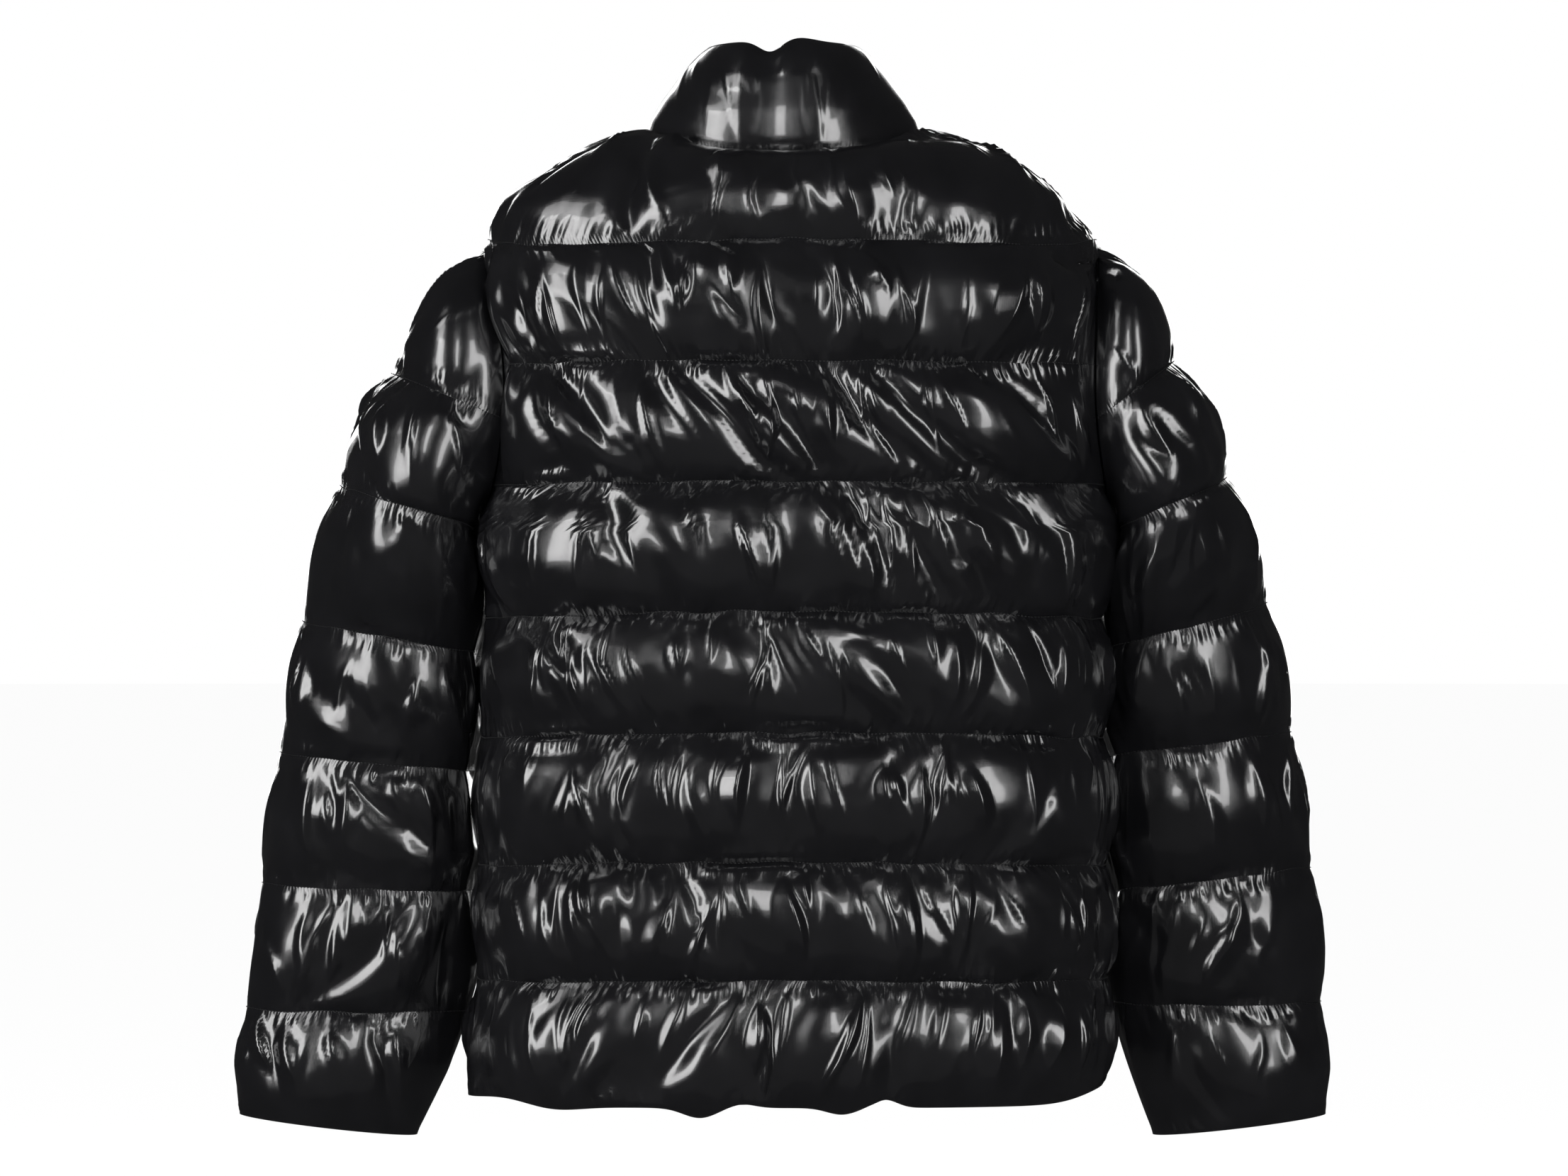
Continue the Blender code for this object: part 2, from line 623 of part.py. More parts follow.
class Armhole:
    """The trunk's armhole edge on one side, by the share of the way up from the underarm:
    its points, the trunk's outward direction there and the way off the trunk's edge."""

    def __init__(self, side, face):
        levels, grid, normal, _ = back_grids() if face > 0 else front_grids(side)
        end, beside = (0, 1) if face > 0 and side > 0 else (-1, -2)
        edge = grid[:, end]
        out = np.cross(np.gradient(edge, axis=0), normal[:, end])
        out /= np.linalg.norm(out, axis=1, keepdims=True)
        out *= np.sign(np.sum(out * (edge - grid[:, beside]), axis=1, keepdims=True))
        self.rises = (np.array(levels) - UNDERARM) / (SHOULDER - UNDERARM)
        for row in (levels.index(UNDERARM), levels.index(SHOULDER)):
            edge[row, 1] = out[row, 1] = 0
            out[row] = (0, 0, 1) if levels[row] == UNDERARM else (side * 0.8, 0, -0.6)
        self.points, self.normal, self.out = edge, normal[:, end], out

    def read(self, values, rises):
        """Values along the armhole's edge, read at shares of its height."""
        return np.stack([np.interp(rises, self.rises, values[:, k]) for k in range(3)], axis=-1)

    def sewn(self, rises):
        """Where the sleeve's edge runs: off the trunk's edge and out from its surface."""
        step = self.read(self.out + self.normal, rises)
        step /= np.linalg.norm(step, axis=-1, keepdims=True)
        gap = ARMHOLE_GAP * (1 + UNDERARM_EASE * np.exp(-np.asarray(rises) / 0.06))
        return self.read(self.points, rises) + np.reshape(gap, (*np.shape(rises), 1)) * step


def sleeve_grid(side, rings, crown):
    """Base points of a sleeve, from the cuff up, each row's place in the tables, and how
    many of the rows are rings. x is positive on both sides."""
    mirror = np.array([side, 1.0, 1.0])
    back, front = Armhole(side, 1), Armhole(side, -1)
    underarm = (back.sewn(0.0) + front.sewn(0.0)) / 2 * mirror
    crown_ring = crown[0]
    whole = [
        *rings,
        (crown_ring[0], crown_ring[2], crown_ring[3], underarm[0], underarm[2],
         crown_ring[4], crown_ring[5]),
    ]
    rows, places = [], []
    for ring in range(len(rings)):
        for step in ROW_STEPS:
            at = ring + step
            ox, oz, ix, iz, cy, depth = (column(whole, k, at) for k in range(1, 7))
            inner, outer = np.array([ix, cy, iz]), np.array([ox, cy, oz])
            rows.append(sleeve_row(inner, inner, outer, depth, SLEEVE_COLUMNS))
            places.append(at)
    ring_count = len(rows) + 1
    at_rise = [row[1] for row in crown]
    for rise in crown_rises(at_rise[2]):
        at = float(np.interp(rise, at_rise, np.arange(len(at_rise)))) / 2
        ox, oz, cy, depth = (column(crown, k, 2 * at) for k in range(2, 6))
        ends = [underarm, underarm] if rise < 1e-6 else [
            back.sewn(rise) * mirror, front.sewn(rise) * mirror
        ]
        rows.append(sleeve_row(*ends, np.array([ox, cy, oz]), depth, SLEEVE_COLUMNS))
        cap = (rise - at_rise[2]) / (1 - at_rise[2])
        places.append(len(rings) + (at if at < 1 else 1 + cap))
    rises = top_rises()
    half = SLEEVE_COLUMNS // 2
    behind, before = back.sewn(rises), front.sewn(rises)
    over = (behind[half] + before[half]) / 2
    rows.append(np.concatenate([behind[:half], [over], before[half + 1:]]) * mirror)
    places.append(len(rings) + 2.0)
    return np.array(rows), np.array(places), ring_count


def sew_edges(normal, side, ring_count, crown):
    """Turns the crown's edge directions so that its rim doesn't run under the trunk's."""
    back, front = Armhole(side, 1), Armhole(side, -1)
    rises = np.array(crown_rises(crown[2][1]))
    half = SLEEVE_COLUMNS // 2
    top = top_rises()
    ways = []
    for row, rise in enumerate(rises, ring_count - 1):
        ways.append((row, 0, back.read(back.out, rise)))
        ways.append((row, -1, front.read(front.out, rise)))
    for col, rise in enumerate(top):
        hole = back if col < half else front
        ways.append((-1, col, hole.read(hole.out, rise)))
    for row, col, out in ways:
        over = max(float(normal[row, col] @ out), 0.0)
        turned = normal[row, col] - over * out / (out @ out)
        normal[row, col] = turned / np.linalg.norm(turned)
    return normal


class TrunkSide:
    """How far the filled trunk reaches to one side, for any height and depth."""

    def __init__(self, side):
        levels, _, _, back = back_grids()
        _, _, _, front = front_grids(side)
        top = levels.index(SHOULDER) + 1
        back, front = back[:top], front[:top]
        middle = back.shape[1] // 2
        half = back[:, : middle + 1] if side > 0 else back[:, middle:][:, ::-1]
        self.depths = np.linspace(-0.12, 0.12, 49)
        self.heights, reach = [], []
        for back_row, front_row in zip(half, front):
            x = side * np.concatenate([front_row[:, 0], back_row[:, 0]])
            y = np.concatenate([front_row[:, 1], back_row[:, 1]])
            out = x > 0.10
            order = np.argsort(y[out])
            reach.append(np.interp(self.depths, y[out][order], x[out][order]))
            self.heights.append(back_row[0, 2])
        padded = np.array([reach[0], *reach, reach[-1]])
        self.reach = np.max([padded[:-2], padded[1:-1], padded[2:]], axis=0)

    def at(self, y, z):
        """The trunk's reach at a depth and a height."""
        by_row = np.array([np.interp(y, self.depths, row) for row in self.reach])
        return np.interp(z, self.heights, by_row)


def clear_of_trunk(rows, trunk, gaps, softness):
    """Moves points away from the trunk; x is positive on both sides."""
    for place in np.ndindex(rows.shape[:2]):
        point, gap, soft = rows[place], gaps[place], softness[place]
        over = (trunk.at(point[1], point[2]) + gap - point[0]) / soft
        point[0] += soft * (over if over > 30 else math.log1p(math.exp(over)))
    return rows


def sleeve_facing(levels, crown_start):
    """The share of the loft round the sleeve: less on its outside, and least beside the
    trunk."""
    round_it = np.linspace(0, 1, SLEEVE_COLUMNS + 1)
    facing = 0.50 + 0.50 * np.abs(np.sin(2 * math.pi * round_it)) ** 0.8
    inside = 1 - smooth(np.minimum(round_it, 1 - round_it) / 0.2)
    crown_share = np.clip((levels - crown_start) / 0.3, 0, 1)[:, None]
    return facing * (1 - (0.6 + 0.4 * crown_share) * inside)


def build_sleeve(side, name, rings, crown):
    """A sleeve: closed rings from the cuff to the underarm, then the open crown. It keeps
    clear of the trunk beside it."""
    mirror = np.array([side, 1.0, 1.0])
    grid, levels, ring_count = sleeve_grid(side, rings, crown)
    grid = grid * mirror
    trunk = TrunkSide(side)
    drop = grid[ring_count - 1, 0, 2] - grid[:, 0, 2]
    share = smooth(drop / 0.03)
    round_it = np.linspace(0, 1, SLEEVE_COLUMNS + 1)
    off_seam = smooth(np.minimum(round_it, 1 - round_it) / 0.06)
    share = np.maximum(share[:, None], 0.5 * off_seam)
    gaps = ARMHOLE_GAP + (SLEEVE_CLEARANCE - ARMHOLE_GAP) * share
    softness = PRESS_SOFTNESS * (0.1 + 0.9 * share)
    below = (slice(0, ring_count - 1), slice(None))
    above = (slice(ring_count - 1, len(grid) - 2), slice(1, -1))
    for part in (below, above):
        points = clear_of_trunk(grid[part] * mirror, trunk, gaps[part], softness[part])
        grid[part] = points * mirror
    normal = outward(grid, -side)
    shared = normal[:ring_count, 0] + normal[:ring_count, -1]
    shared /= np.linalg.norm(shared, axis=1, keepdims=True)
    normal[:ring_count, 0] = normal[:ring_count, -1] = shared
    normal = sew_edges(normal, side, ring_count, crown)
    loft = SLEEVE_LOFT * baffle_loft(levels)[:, None] * sleeve_facing(levels, len(rings))
    outer = grid + loft[:, :, None] * normal
    for part in (below, above):
        gap = 0.7 * gaps[part] + 0.0004
        points = clear_of_trunk(outer[part] * mirror, trunk, gap, softness[part] / 4)
        outer[part] = points * mirror
    kept = []
    for row, level in enumerate(levels):
        on_line = abs(level - round(level)) < 1e-6
        in_crown = row >= ring_count and row % 2 == 0
        under_crown = len(rings) - 1 < level < len(rings)
        if on_line or in_crown or under_crown:
            kept.append(row)
    inner = (grid - WALL * normal)[kept]
    return link(name, wall(outer, inner, kept, ring_count), *SHELL)


# ---------------------------------------------------------------- collar
def collar_ring(height):
    """The collar's middle surface at a share of its height, from the left front edge round
    the back to the right front edge."""
    front = np.linspace(0, 1, FRONT_COLUMNS + 1)
    back = np.linspace(0, 1, BACK_COLUMNS + 1)
    parts = []
    for side in (1, -1):
        low_front, low_back = neck_row(-1, side, front), neck_row(1, side, back)[::-1]
        top_front, top_back = collar_top(-1, side, front), collar_top(1, side, back)[::-1]
        low = np.concatenate([low_front, low_back[1:]])
        top = np.concatenate([top_front, top_back[1:]])
        half = low + (top - low) * height
        parts.append(half if side > 0 else half[::-1][1:])
    return np.concatenate(parts)


def collar_top(face, side, shares):
    """The collar's top edge, from the centre line to the side of the neck."""
    across, along = quarter(math.pi / 2, TOP_BACK_ROUND if face > 0 else TOP_FRONT_ROUND)
    middle = COLLAR_TOP_BACK if face > 0 else COLLAR_TOP_FRONT
    x = side * COLLAR_TOP_HALF_WIDTH * across
    y = COLLAR_TOP_SIDE[0] + (middle[0] - COLLAR_TOP_SIDE[0]) * along
    z = COLLAR_TOP_SIDE[1] + (middle[1] - COLLAR_TOP_SIDE[1]) * along
    points = np.stack([x, y, z], axis=1)
    if face < 0:
        points = points[np.abs(points[:, 0]) > ZIP_HALF]
        first = points[0].copy()
        first[0] = side * ZIP_HALF
        points = np.vstack([first, points])
    return spread(points, shares)


def collar_grids():
    """Outer points, inner points and normals of the collar."""
    grid = np.array([collar_ring(row[0]) for row in COLLAR_ROWS])
    normal = outward(grid, 1)
    for col in (0, -1):
        normal[:, col, 0] = 0
        normal[:, col] /= np.linalg.norm(normal[:, col], axis=1, keepdims=True)
    outside = np.array([row[1] for row in COLLAR_ROWS])
    inside = np.array([row[2] for row in COLLAR_ROWS])
    pinch = edge_pinch(grid.shape[1] - 1, 0.0, 0.0)
    facing = COLLAR_SIDE_LOFT + (1 - COLLAR_SIDE_LOFT) * np.abs(normal[:, :, 1]) ** 2
    outer = grid + (COLLAR_LOFT * outside[:, None] * pinch * facing)[:, :, None] * normal
    depth = WALL + (COLLAR_INSIDE - WALL) * inside[:, None] * pinch
    inner = grid - depth[:, :, None] * normal
    lift = gather_lift(grid[:, :, 0], COLLAR_PINCH) * (grid[:, :, 1] > 0)
    fade = np.array([row[0] ** 3 for row in COLLAR_ROWS])[:, None]
    outer[:, :, 2] += lift * fade
    inner[:, :, 2] += lift * fade
    return outer, inner, normal


def build_collar():
    outer, inner, _ = collar_grids()
    return link("collar", wall(outer, inner[COLLAR_KEPT], COLLAR_KEPT, 0), *SHELL)


# ---------------------------------------------------------------- front zip
def front_line():
    """The inner face of the fronts and the collar beside the zip, on the centre plane, as
    rows from the hem up, and the direction that faces inward at each."""
    levels, grid, normal, _ = front_grids(1)
    kept = inside_rows(levels)
    points = list((grid - WALL * normal)[kept, 0])
    ways = list(-normal[kept, 0])
    rings = collar_grids()
    for row in COLLAR_KEPT:
        points.append(rings[1][row, 0])
        ways.append(-rings[2][row, 0])
    points, ways = np.array(points), np.array(ways)
    points[:, 0] = 0
    return points, ways


def build_tape(side, name):
    """Half of the zip: a woven tape behind the front's edge, with its row of teeth as a
    plain bar along the middle."""
    profile = [
        # across, inward from the fronts' inner face
        (SEAM_GAP / 2, TAPE_GAP - CHAIN_THICK),
        (CHAIN_HALF, TAPE_GAP - CHAIN_THICK),
        (CHAIN_HALF, TAPE_GAP),
        (TAPE_HALF, TAPE_GAP),
        (TAPE_HALF, TAPE_GAP + TAPE_THICK),
        (SEAM_GAP / 2, TAPE_GAP + TAPE_THICK),
    ]
    points, inward = front_line()
    drop = points[-2] - points[-1]
    points[-1] += drop * ZIP_TOP_DROP / np.linalg.norm(drop)
    mesh_data = bmesh.new()
    rows = []
    for point, way in zip(points, inward):
        ring = [
            mesh_data.verts.new(point + np.array([side * x, 0, 0]) + depth * way)
            for x, depth in profile
        ]
        rows.append(ring + [ring[0]])
    for below, above in zip(rows, rows[1:]):
        fill_between(mesh_data, below, above)
    mesh_data.faces.new(rows[0][:-1])
    mesh_data.faces.new(rows[-1][:-1])
    return link(name, mesh_data, *TAPE)


def extruded(name, outline, axis, half, middle=0.0):
    """A mesh object: a flat outline, drawn square to an axis, given its thickness."""
    mesh_data = bmesh.new()
    sides = []
    for offset in (middle - half, middle + half):
        corners = [np.insert(np.array(point), axis, offset) for point in outline]
        sides.append([mesh_data.verts.new(corner) for corner in corners])
    for loop in sides:
        mesh_data.faces.new(loop)
    first, second = ([*loop, loop[0]] for loop in sides)
    fill_between(mesh_data, first, second)
    return link(name, mesh_data, *METAL)


def combine(obj, other, operation):
    """Joins or cuts with another object, which stays as a hidden helper."""
    other.hide_render = True
    other.display_type = "WIRE"
    boolean = obj.modifiers.new(operation.lower(), "BOOLEAN")
    boolean.object = other
    boolean.operation = operation
    boolean.solver = "EXACT"


def slider_place():
    """y of the slider's front face, and z of its lower and upper ends."""
    points, ways = front_line()
    top = points[-1]
    front = top[1] - (CHAIN_THICK - TAPE_GAP) - SLIDER_GAP - PLATE
    chain_top = top[2] - ZIP_TOP_DROP
    upper = chain_top + SLIDER_GAP + POST_HIGH
    return front, upper - SLIDER_HIGH, upper


def build_slider():
    """Two plates joined by a post above the chain's end, and a bail on the front one."""
    front, low, high = slider_place()
    inner = front + PLATE
    behind = inner + 2 * SLIDER_GAP + CHAIN_THICK + TAPE_THICK + SLIDER_LEAN
    post = high - POST_HIGH
    body = [
        (front, low), (inner, low), (inner, post), (behind, post),
        (behind, low), (behind + PLATE, low), (behind + PLATE, high), (front, high),
    ]
    slider = extruded("zip_slider", body, 0, SLIDER_HALF)
    bail_low = low + BAIL_FOOT
    bail_high = bail_low + 2 * BAIL_FOOT + BAIL_OPEN
    reach = front - BAIL_REACH
    bail = [
        (front + PLATE / 2, bail_low), (reach - BAIL_THICK, bail_low),
        (reach - BAIL_THICK, bail_high), (front + PLATE / 2, bail_high),
        (front + PLATE / 2, bail_high - BAIL_FOOT), (reach, bail_high - BAIL_FOOT),
        (reach, bail_low + BAIL_FOOT), (front + PLATE / 2, bail_low + BAIL_FOOT),
    ]
    combine(slider, extruded("slider_bail", bail, 0, BAIL_HALF), "UNION")
    return slider


def swing_axis():
    """y and z of the pull's axis: the crossbar in the bail's opening."""
    front, low, _ = slider_place()
    return front - BAIL_REACH / 2, low + 3 * BAIL_FOOT


def build_pull():
    """A flat tab that hangs from its crossbar in the bail."""
    y, z = swing_axis()
    half = PULL_THICK / 2
    inner, outer = PULL_ARM
    right = [
        (outer, z + half), (outer, z - PULL_EYE), (PULL_HALF, z - PULL_EYE - 0.002),
        (PULL_HALF, z - PULL_LONG + 0.0015), (PULL_HALF - 0.0015, z - PULL_LONG),
    ]
    outline = right + [(-x, height) for x, height in reversed(right)]
    pull = extruded("zip_pull", outline, 1, half, y)
    eye = [(inner, z - half), (-inner, z - half), (-inner, z - PULL_EYE), (inner, z - PULL_EYE)]
    combine(pull, extruded("pull_eye", eye, 1, 2 * half, y), "DIFFERENCE")
    return pull


def main():
    for obj in list(bpy.data.objects):
        bpy.data.objects.remove(obj)
    build_back()
    build_front(1, "front_left")
    build_front(-1, "front_right")
    build_sleeve(1, "sleeve_left", LEFT_SLEEVE, LEFT_CROWN)
    build_sleeve(-1, "sleeve_right", RIGHT_SLEEVE, RIGHT_CROWN)
    build_collar()
    build_tape(1, "zip_tape_left")
    build_tape(-1, "zip_tape_right")
    build_slider()
    build_pull()


main()
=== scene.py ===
"""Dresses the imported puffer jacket: gathered and filled panels, stitching, zip and stage.

It is laid out as an add-on and is run as a script. Metres, +Z up, the front faces -Y and the
wearer's left side is +X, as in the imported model.
"""

import math

import bmesh
import bpy
import numpy as np
from mathutils import Matrix, Vector, noise


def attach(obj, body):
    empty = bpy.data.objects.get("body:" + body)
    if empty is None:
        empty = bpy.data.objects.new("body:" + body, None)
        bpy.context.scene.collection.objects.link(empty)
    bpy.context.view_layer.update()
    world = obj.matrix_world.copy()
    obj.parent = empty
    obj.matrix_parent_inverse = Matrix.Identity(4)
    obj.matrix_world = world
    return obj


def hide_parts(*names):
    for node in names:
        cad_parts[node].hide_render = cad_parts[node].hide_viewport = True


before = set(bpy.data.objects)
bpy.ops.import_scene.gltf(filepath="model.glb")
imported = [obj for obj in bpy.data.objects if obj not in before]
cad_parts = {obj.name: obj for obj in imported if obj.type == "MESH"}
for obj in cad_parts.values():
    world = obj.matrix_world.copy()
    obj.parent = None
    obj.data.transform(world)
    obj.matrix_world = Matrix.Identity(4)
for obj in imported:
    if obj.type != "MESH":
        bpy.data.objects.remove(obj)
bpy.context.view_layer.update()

bl_info = {
    "name": "Quilted jacket",
    "version": (1, 0, 0),
    "blender": (4, 5, 0),
    "location": "3D View > Sidebar > Jacket",
    "description": "Makes a filled, quilted jacket around its packed solids",
    "category": "Object",
}

# ---------------------------------------------------------------- the jacket's own tables
# Places up the trunk are in baffles above the hem. The rest are metres, shares or degrees.
UNDERARM = 4.65
SHOULDER = 7.0             # the top quilting line, which ends at the shoulder points
NECK = 8.0                 # the collar seam
SQUARENESS = 2.7           # of a trunk row seen from above: 2 would be an ellipse
BACK_BITE = 27.0           # how far the armhole bites into the back and into a front
FRONT_BITE = 31.0
ARMHOLE_ROUNDNESS = 0.6
ARMHOLE_GAP = 0.0006       # between a sleeve's edge and the armhole,
UNDERARM_EASE = 0.7        # and the share that is added at the underarm,
EASE_REACH = 0.06          # fading over this share of the way up
CROWN_END = 0.30           # the crown's rings end this many baffles below the shoulder
# Where the crown's last row meets the armhole: a share of the way round from the outer point,
# and how many baffles below the shoulder.
CROWN_SEAM = ((0.0, 0.0), (8 / 13, 0.12), (1.0, 0.29))
SLEEVE_CLEARANCE = 0.0040  # between a sleeve and the trunk's side
SLEEVE_EASE = 0.0020       # the quilting lines' outer points stand this much past the solid's
PRESS_SOFTNESS = 0.002     # how gently the trunk's side pushes a sleeve away
SIDE_FROM = 0.10           # the trunk's side starts this far off the centre line,
SIDE_DEPTH = 0.12          # and is read to this far behind and before it
INNER_SEAM = 0.06          # the share of a ring beside its inner point that keeps close,
INNER_RISE = 0.03          # and how far below the underarm it parts from the trunk
NECK_HALF_WIDTH = 0.100
NECK_BACK_ROUND = 2.0
NECK_FRONT_ROUND = 2.7
NECK_BACK = (0.068, -0.024)        # y and z at the centre line
NECK_FRONT = (-0.096, -0.060)
SHOULDER_LIFT = 0.0120
SHOULDER_SWEEP = 1.6
YOKE_ROUND = 0.55          # of the yoke's centre line, from straight to a quarter ellipse
TOP_BACK_ROUND = 2.3
TOP_FRONT_ROUND = 3.4
COLLAR_TOP_HALF_WIDTH = 0.0575
COLLAR_TOP_BACK = (0.048, 0.0600)  # y and z
COLLAR_TOP_SIDE = (-0.022, 0.0600)
COLLAR_TOP_FRONT = (-0.098, 0.0300)
COLLAR_SIDE_LOFT = 0.45
COLLAR_ROOM = 0.6          # the share of the room that a filled shell has past its solid
COLLAR_DEPTH = (0.003, 0.002)      # of the plain inside: at the edges, and what is added
ZIP_HALF = 0.008           # half of the slot that the fronts and the collar leave for the zip
LOFT_POWER = 0.62          # how blunt a baffle's section is
BODY_EDGE_LOFT = 0.22      # the share of the loft that is left at a side seam
EDGE_REACH = 0.09          # how far in a side edge pinches, as a share of the row,
YOKE_EDGE_REACH = 0.35     # and at the top of the yoke
SIDE_PRESS = 0.45          # how much of the trunk's loft a sleeve presses flat

# Each row of the trunk: its height at the centre line, how much higher its side is, its half
# width, where its middle is, and how deep the back and the front are.
TRUNK = [
    # name     middle_z  side_drop  half_width  centre_x  back_depth  front_depth
    ("hem",     -0.7065,   -0.0010,     0.232,   -0.001,      0.110,      0.120),
    ("line_1",  -0.6157,   -0.0040,     0.230,   -0.006,      0.113,      0.126),
    ("line_2",  -0.5309,   -0.0060,     0.229,   -0.006,      0.115,      0.131),
    ("line_3",  -0.4389,   -0.0055,     0.227,   -0.006,      0.117,      0.133),
    ("line_4",  -0.3525,   -0.0055,     0.225,   -0.007,      0.121,      0.135),
    ("line_5",  -0.2607,   -0.0010,     0.228,   -0.011,      0.126,      0.136),
    ("line_6",  -0.1746,   -0.0010,     0.231,   -0.011,      0.127,      0.130),
    ("line_7",  -0.0878,   -0.0060,     0.222,   -0.006,      0.116,      0.113),
]
# Each row of a sleeve: its outer and its inner point, its middle's depth, and half its depth.
LEFT_SLEEVE = [
    # name      outer_x  outer_z  inner_x  inner_z  centre_y  half_depth
    ("cuff",     0.4035, -0.7270,  0.2730, -0.7425,  -0.066,     0.034),
    ("ring_1",   0.3976, -0.6477,  0.2340, -0.6494,  -0.062,     0.041),
    ("ring_2",   0.3853, -0.5558,  0.2190, -0.5600,  -0.056,     0.047),
    ("ring_3",   0.3713, -0.4578,  0.2160, -0.4715,  -0.049,     0.055),
    ("ring_4",   0.3533, -0.3607,  0.2160, -0.3850,  -0.036,     0.064),
]
RIGHT_SLEEVE = [
    ("cuff",     0.4015, -0.7270,  0.2745, -0.7425,  -0.066,     0.034),
    ("ring_1",   0.3970, -0.6430,  0.2420, -0.6430,  -0.062,     0.041),
    ("ring_2",   0.3888, -0.5424,  0.2270, -0.5600,  -0.056,     0.047),
    ("ring_3",   0.3736, -0.4421,  0.2250, -0.4600,  -0.049,     0.055),
    ("ring_4",   0.3545, -0.3474,  0.2240, -0.3830,  -0.036,     0.064),
]
# Each row of a sleeve's crown, by the share of the way up the armhole.
LEFT_CROWN = [
    # name       rise  outer_x  outer_z  centre_y  half_depth
    ("ring_5",   0.00,  0.3225, -0.2620,   0.000,     0.080),
    ("upper",    0.17,  0.3060, -0.2190,  -0.002,     0.084),
    ("ring_6",   0.38,  0.2860, -0.1790,  -0.003,     0.084),
    ("cap",      0.64,  0.2550, -0.1350,  -0.002,     0.074),
    ("shoulder", 0.949, 0.2180, -0.0900,   0.000,     0.040),
]
RIGHT_CROWN = [
    ("ring_5",   0.00,  0.3215, -0.2560,   0.000,     0.080),
    ("upper",    0.17,  0.3045, -0.2130,  -0.002,     0.084),
    ("ring_6",   0.38,  0.2840, -0.1700,  -0.003,     0.084),
    ("cap",      0.64,  0.2590, -0.1260,  -0.002,     0.074),
    ("shoulder", 0.949, 0.2300, -0.0900,   0.000,     0.040),
]
# Folds of the back: across is metres from the centre line towards the wearer's left, low and
# high are baffles above the hem, lean is how far the fold shifts across on its way up, and
# depth is negative for a trough.
BACK_FOLDS = [
    # across    low   high    lean   width   depth
    (0.098,    7.06,  7.80,  0.016,  0.016, -0.0050),
    (-0.090,   7.06,  7.60, -0.014,  0.018, -0.0040),
    (0.086,    6.08,  6.92,  0.014,  0.016, -0.0050),
    (0.030,    6.10,  6.95, -0.006,  0.016,  0.0045),
    (-0.004,   6.10,  6.90,  0.004,  0.014, -0.0050),
    (-0.070,   6.10,  6.92, -0.014,  0.016,  0.0045),
    (-0.118,   6.10,  6.90, -0.010,  0.016, -0.0045),
    (-0.175,   6.08,  6.85, -0.012,  0.018,  0.0050),
    (0.145,    5.10,  5.95,  0.004,  0.018,  0.0045),
    (0.075,    5.05,  5.95,  0.022,  0.016, -0.0050),
    (0.010,    5.10,  5.90,  0.018,  0.016,  0.0045),
    (-0.060,   5.05,  5.92,  0.028,  0.016, -0.0050),
    (-0.140,   5.10,  5.90,  0.020,  0.018,  0.0050),
    (0.120,    4.05,  4.92,  0.016,  0.016, -0.0045),
    (0.072,    4.10,  4.92,  0.020,  0.015,  0.0045),
    (0.000,    4.10,  4.95,  0.004,  0.015, -0.0045),
    (-0.062,   4.05,  4.95,  0.018,  0.015, -0.0050),
    (-0.150,   4.10,  4.90,  0.016,  0.018,  0.0045),
    (0.165,    3.25,  3.95,  0.020,  0.018,  0.0045),
    (0.085,    3.20,  3.95,  0.008,  0.015, -0.0045),
    (0.012,    3.15,  3.95,  0.014,  0.015, -0.0050),
    (-0.048,   3.20,  3.95, -0.008,  0.015,  0.0040),
    (-0.130,   3.15,  3.95,  0.020,  0.016, -0.0045),
    (0.150,    2.30,  2.95, -0.018,  0.017,  0.0045),
    (0.080,    2.20,  2.95, -0.016,  0.016, -0.0045),
    (0.005,    2.20,  2.95,  0.008,  0.014, -0.0050),
    (-0.090,   2.20,  2.95,  0.016,  0.016, -0.0040),
    (0.140,    1.35,  1.95, -0.020,  0.017,  0.0040),
    (-0.010,   1.20,  1.95,  0.014,  0.016, -0.0045),
    (-0.110,   1.10,  1.80,  0.024,  0.018, -0.0040),
    (0.110,    0.10,  0.90,  0.022,  0.018, -0.0040),
    (0.058,    0.02,  0.60,  0.010,  0.014,  0.0060),
    (0.006,    0.02,  0.95, -0.006,  0.016, -0.0085),
    (-0.042,   0.02,  0.50,  0.010,  0.014,  0.0050),
    (-0.072,   0.02,  0.70,  0.018,  0.012, -0.0065),
    (-0.160,   0.15,  0.95,  0.030,  0.018, -0.0045),
]
# Where the hem is lifted or let down: across is as for the folds.
HEM_GATHERS = [
    # across   half_width  lift
    (0.205,      0.030,   0.0050),
    (0.165,      0.026,  -0.0030),
    (0.060,      0.016,  -0.0075),
    (0.030,      0.012,   0.0030),
    (-0.041,     0.014,  -0.0050),
    (-0.072,     0.011,   0.0065),
    (-0.243,     0.032,   0.0110),
]
# The collar's section: how full its outside is at a share of its height.
COLLAR_ROWS = [
    # height  outside  inside
    (0.004,    0.00,    0.60),
    (0.10,     0.55,    0.80),
    (0.34,     0.98,    1.00),
    (0.66,     0.98,    1.00),
    (0.91,     0.58,    0.75),
    (1.00,     0.05,    0.40),
]
# Where the collar's top edge at the back is lifted or let down.
COLLAR_PINCH = [
    # across   half_width  lift
    (0.010,      0.010,  -0.0085),
    (-0.012,     0.012,   0.0025),
]
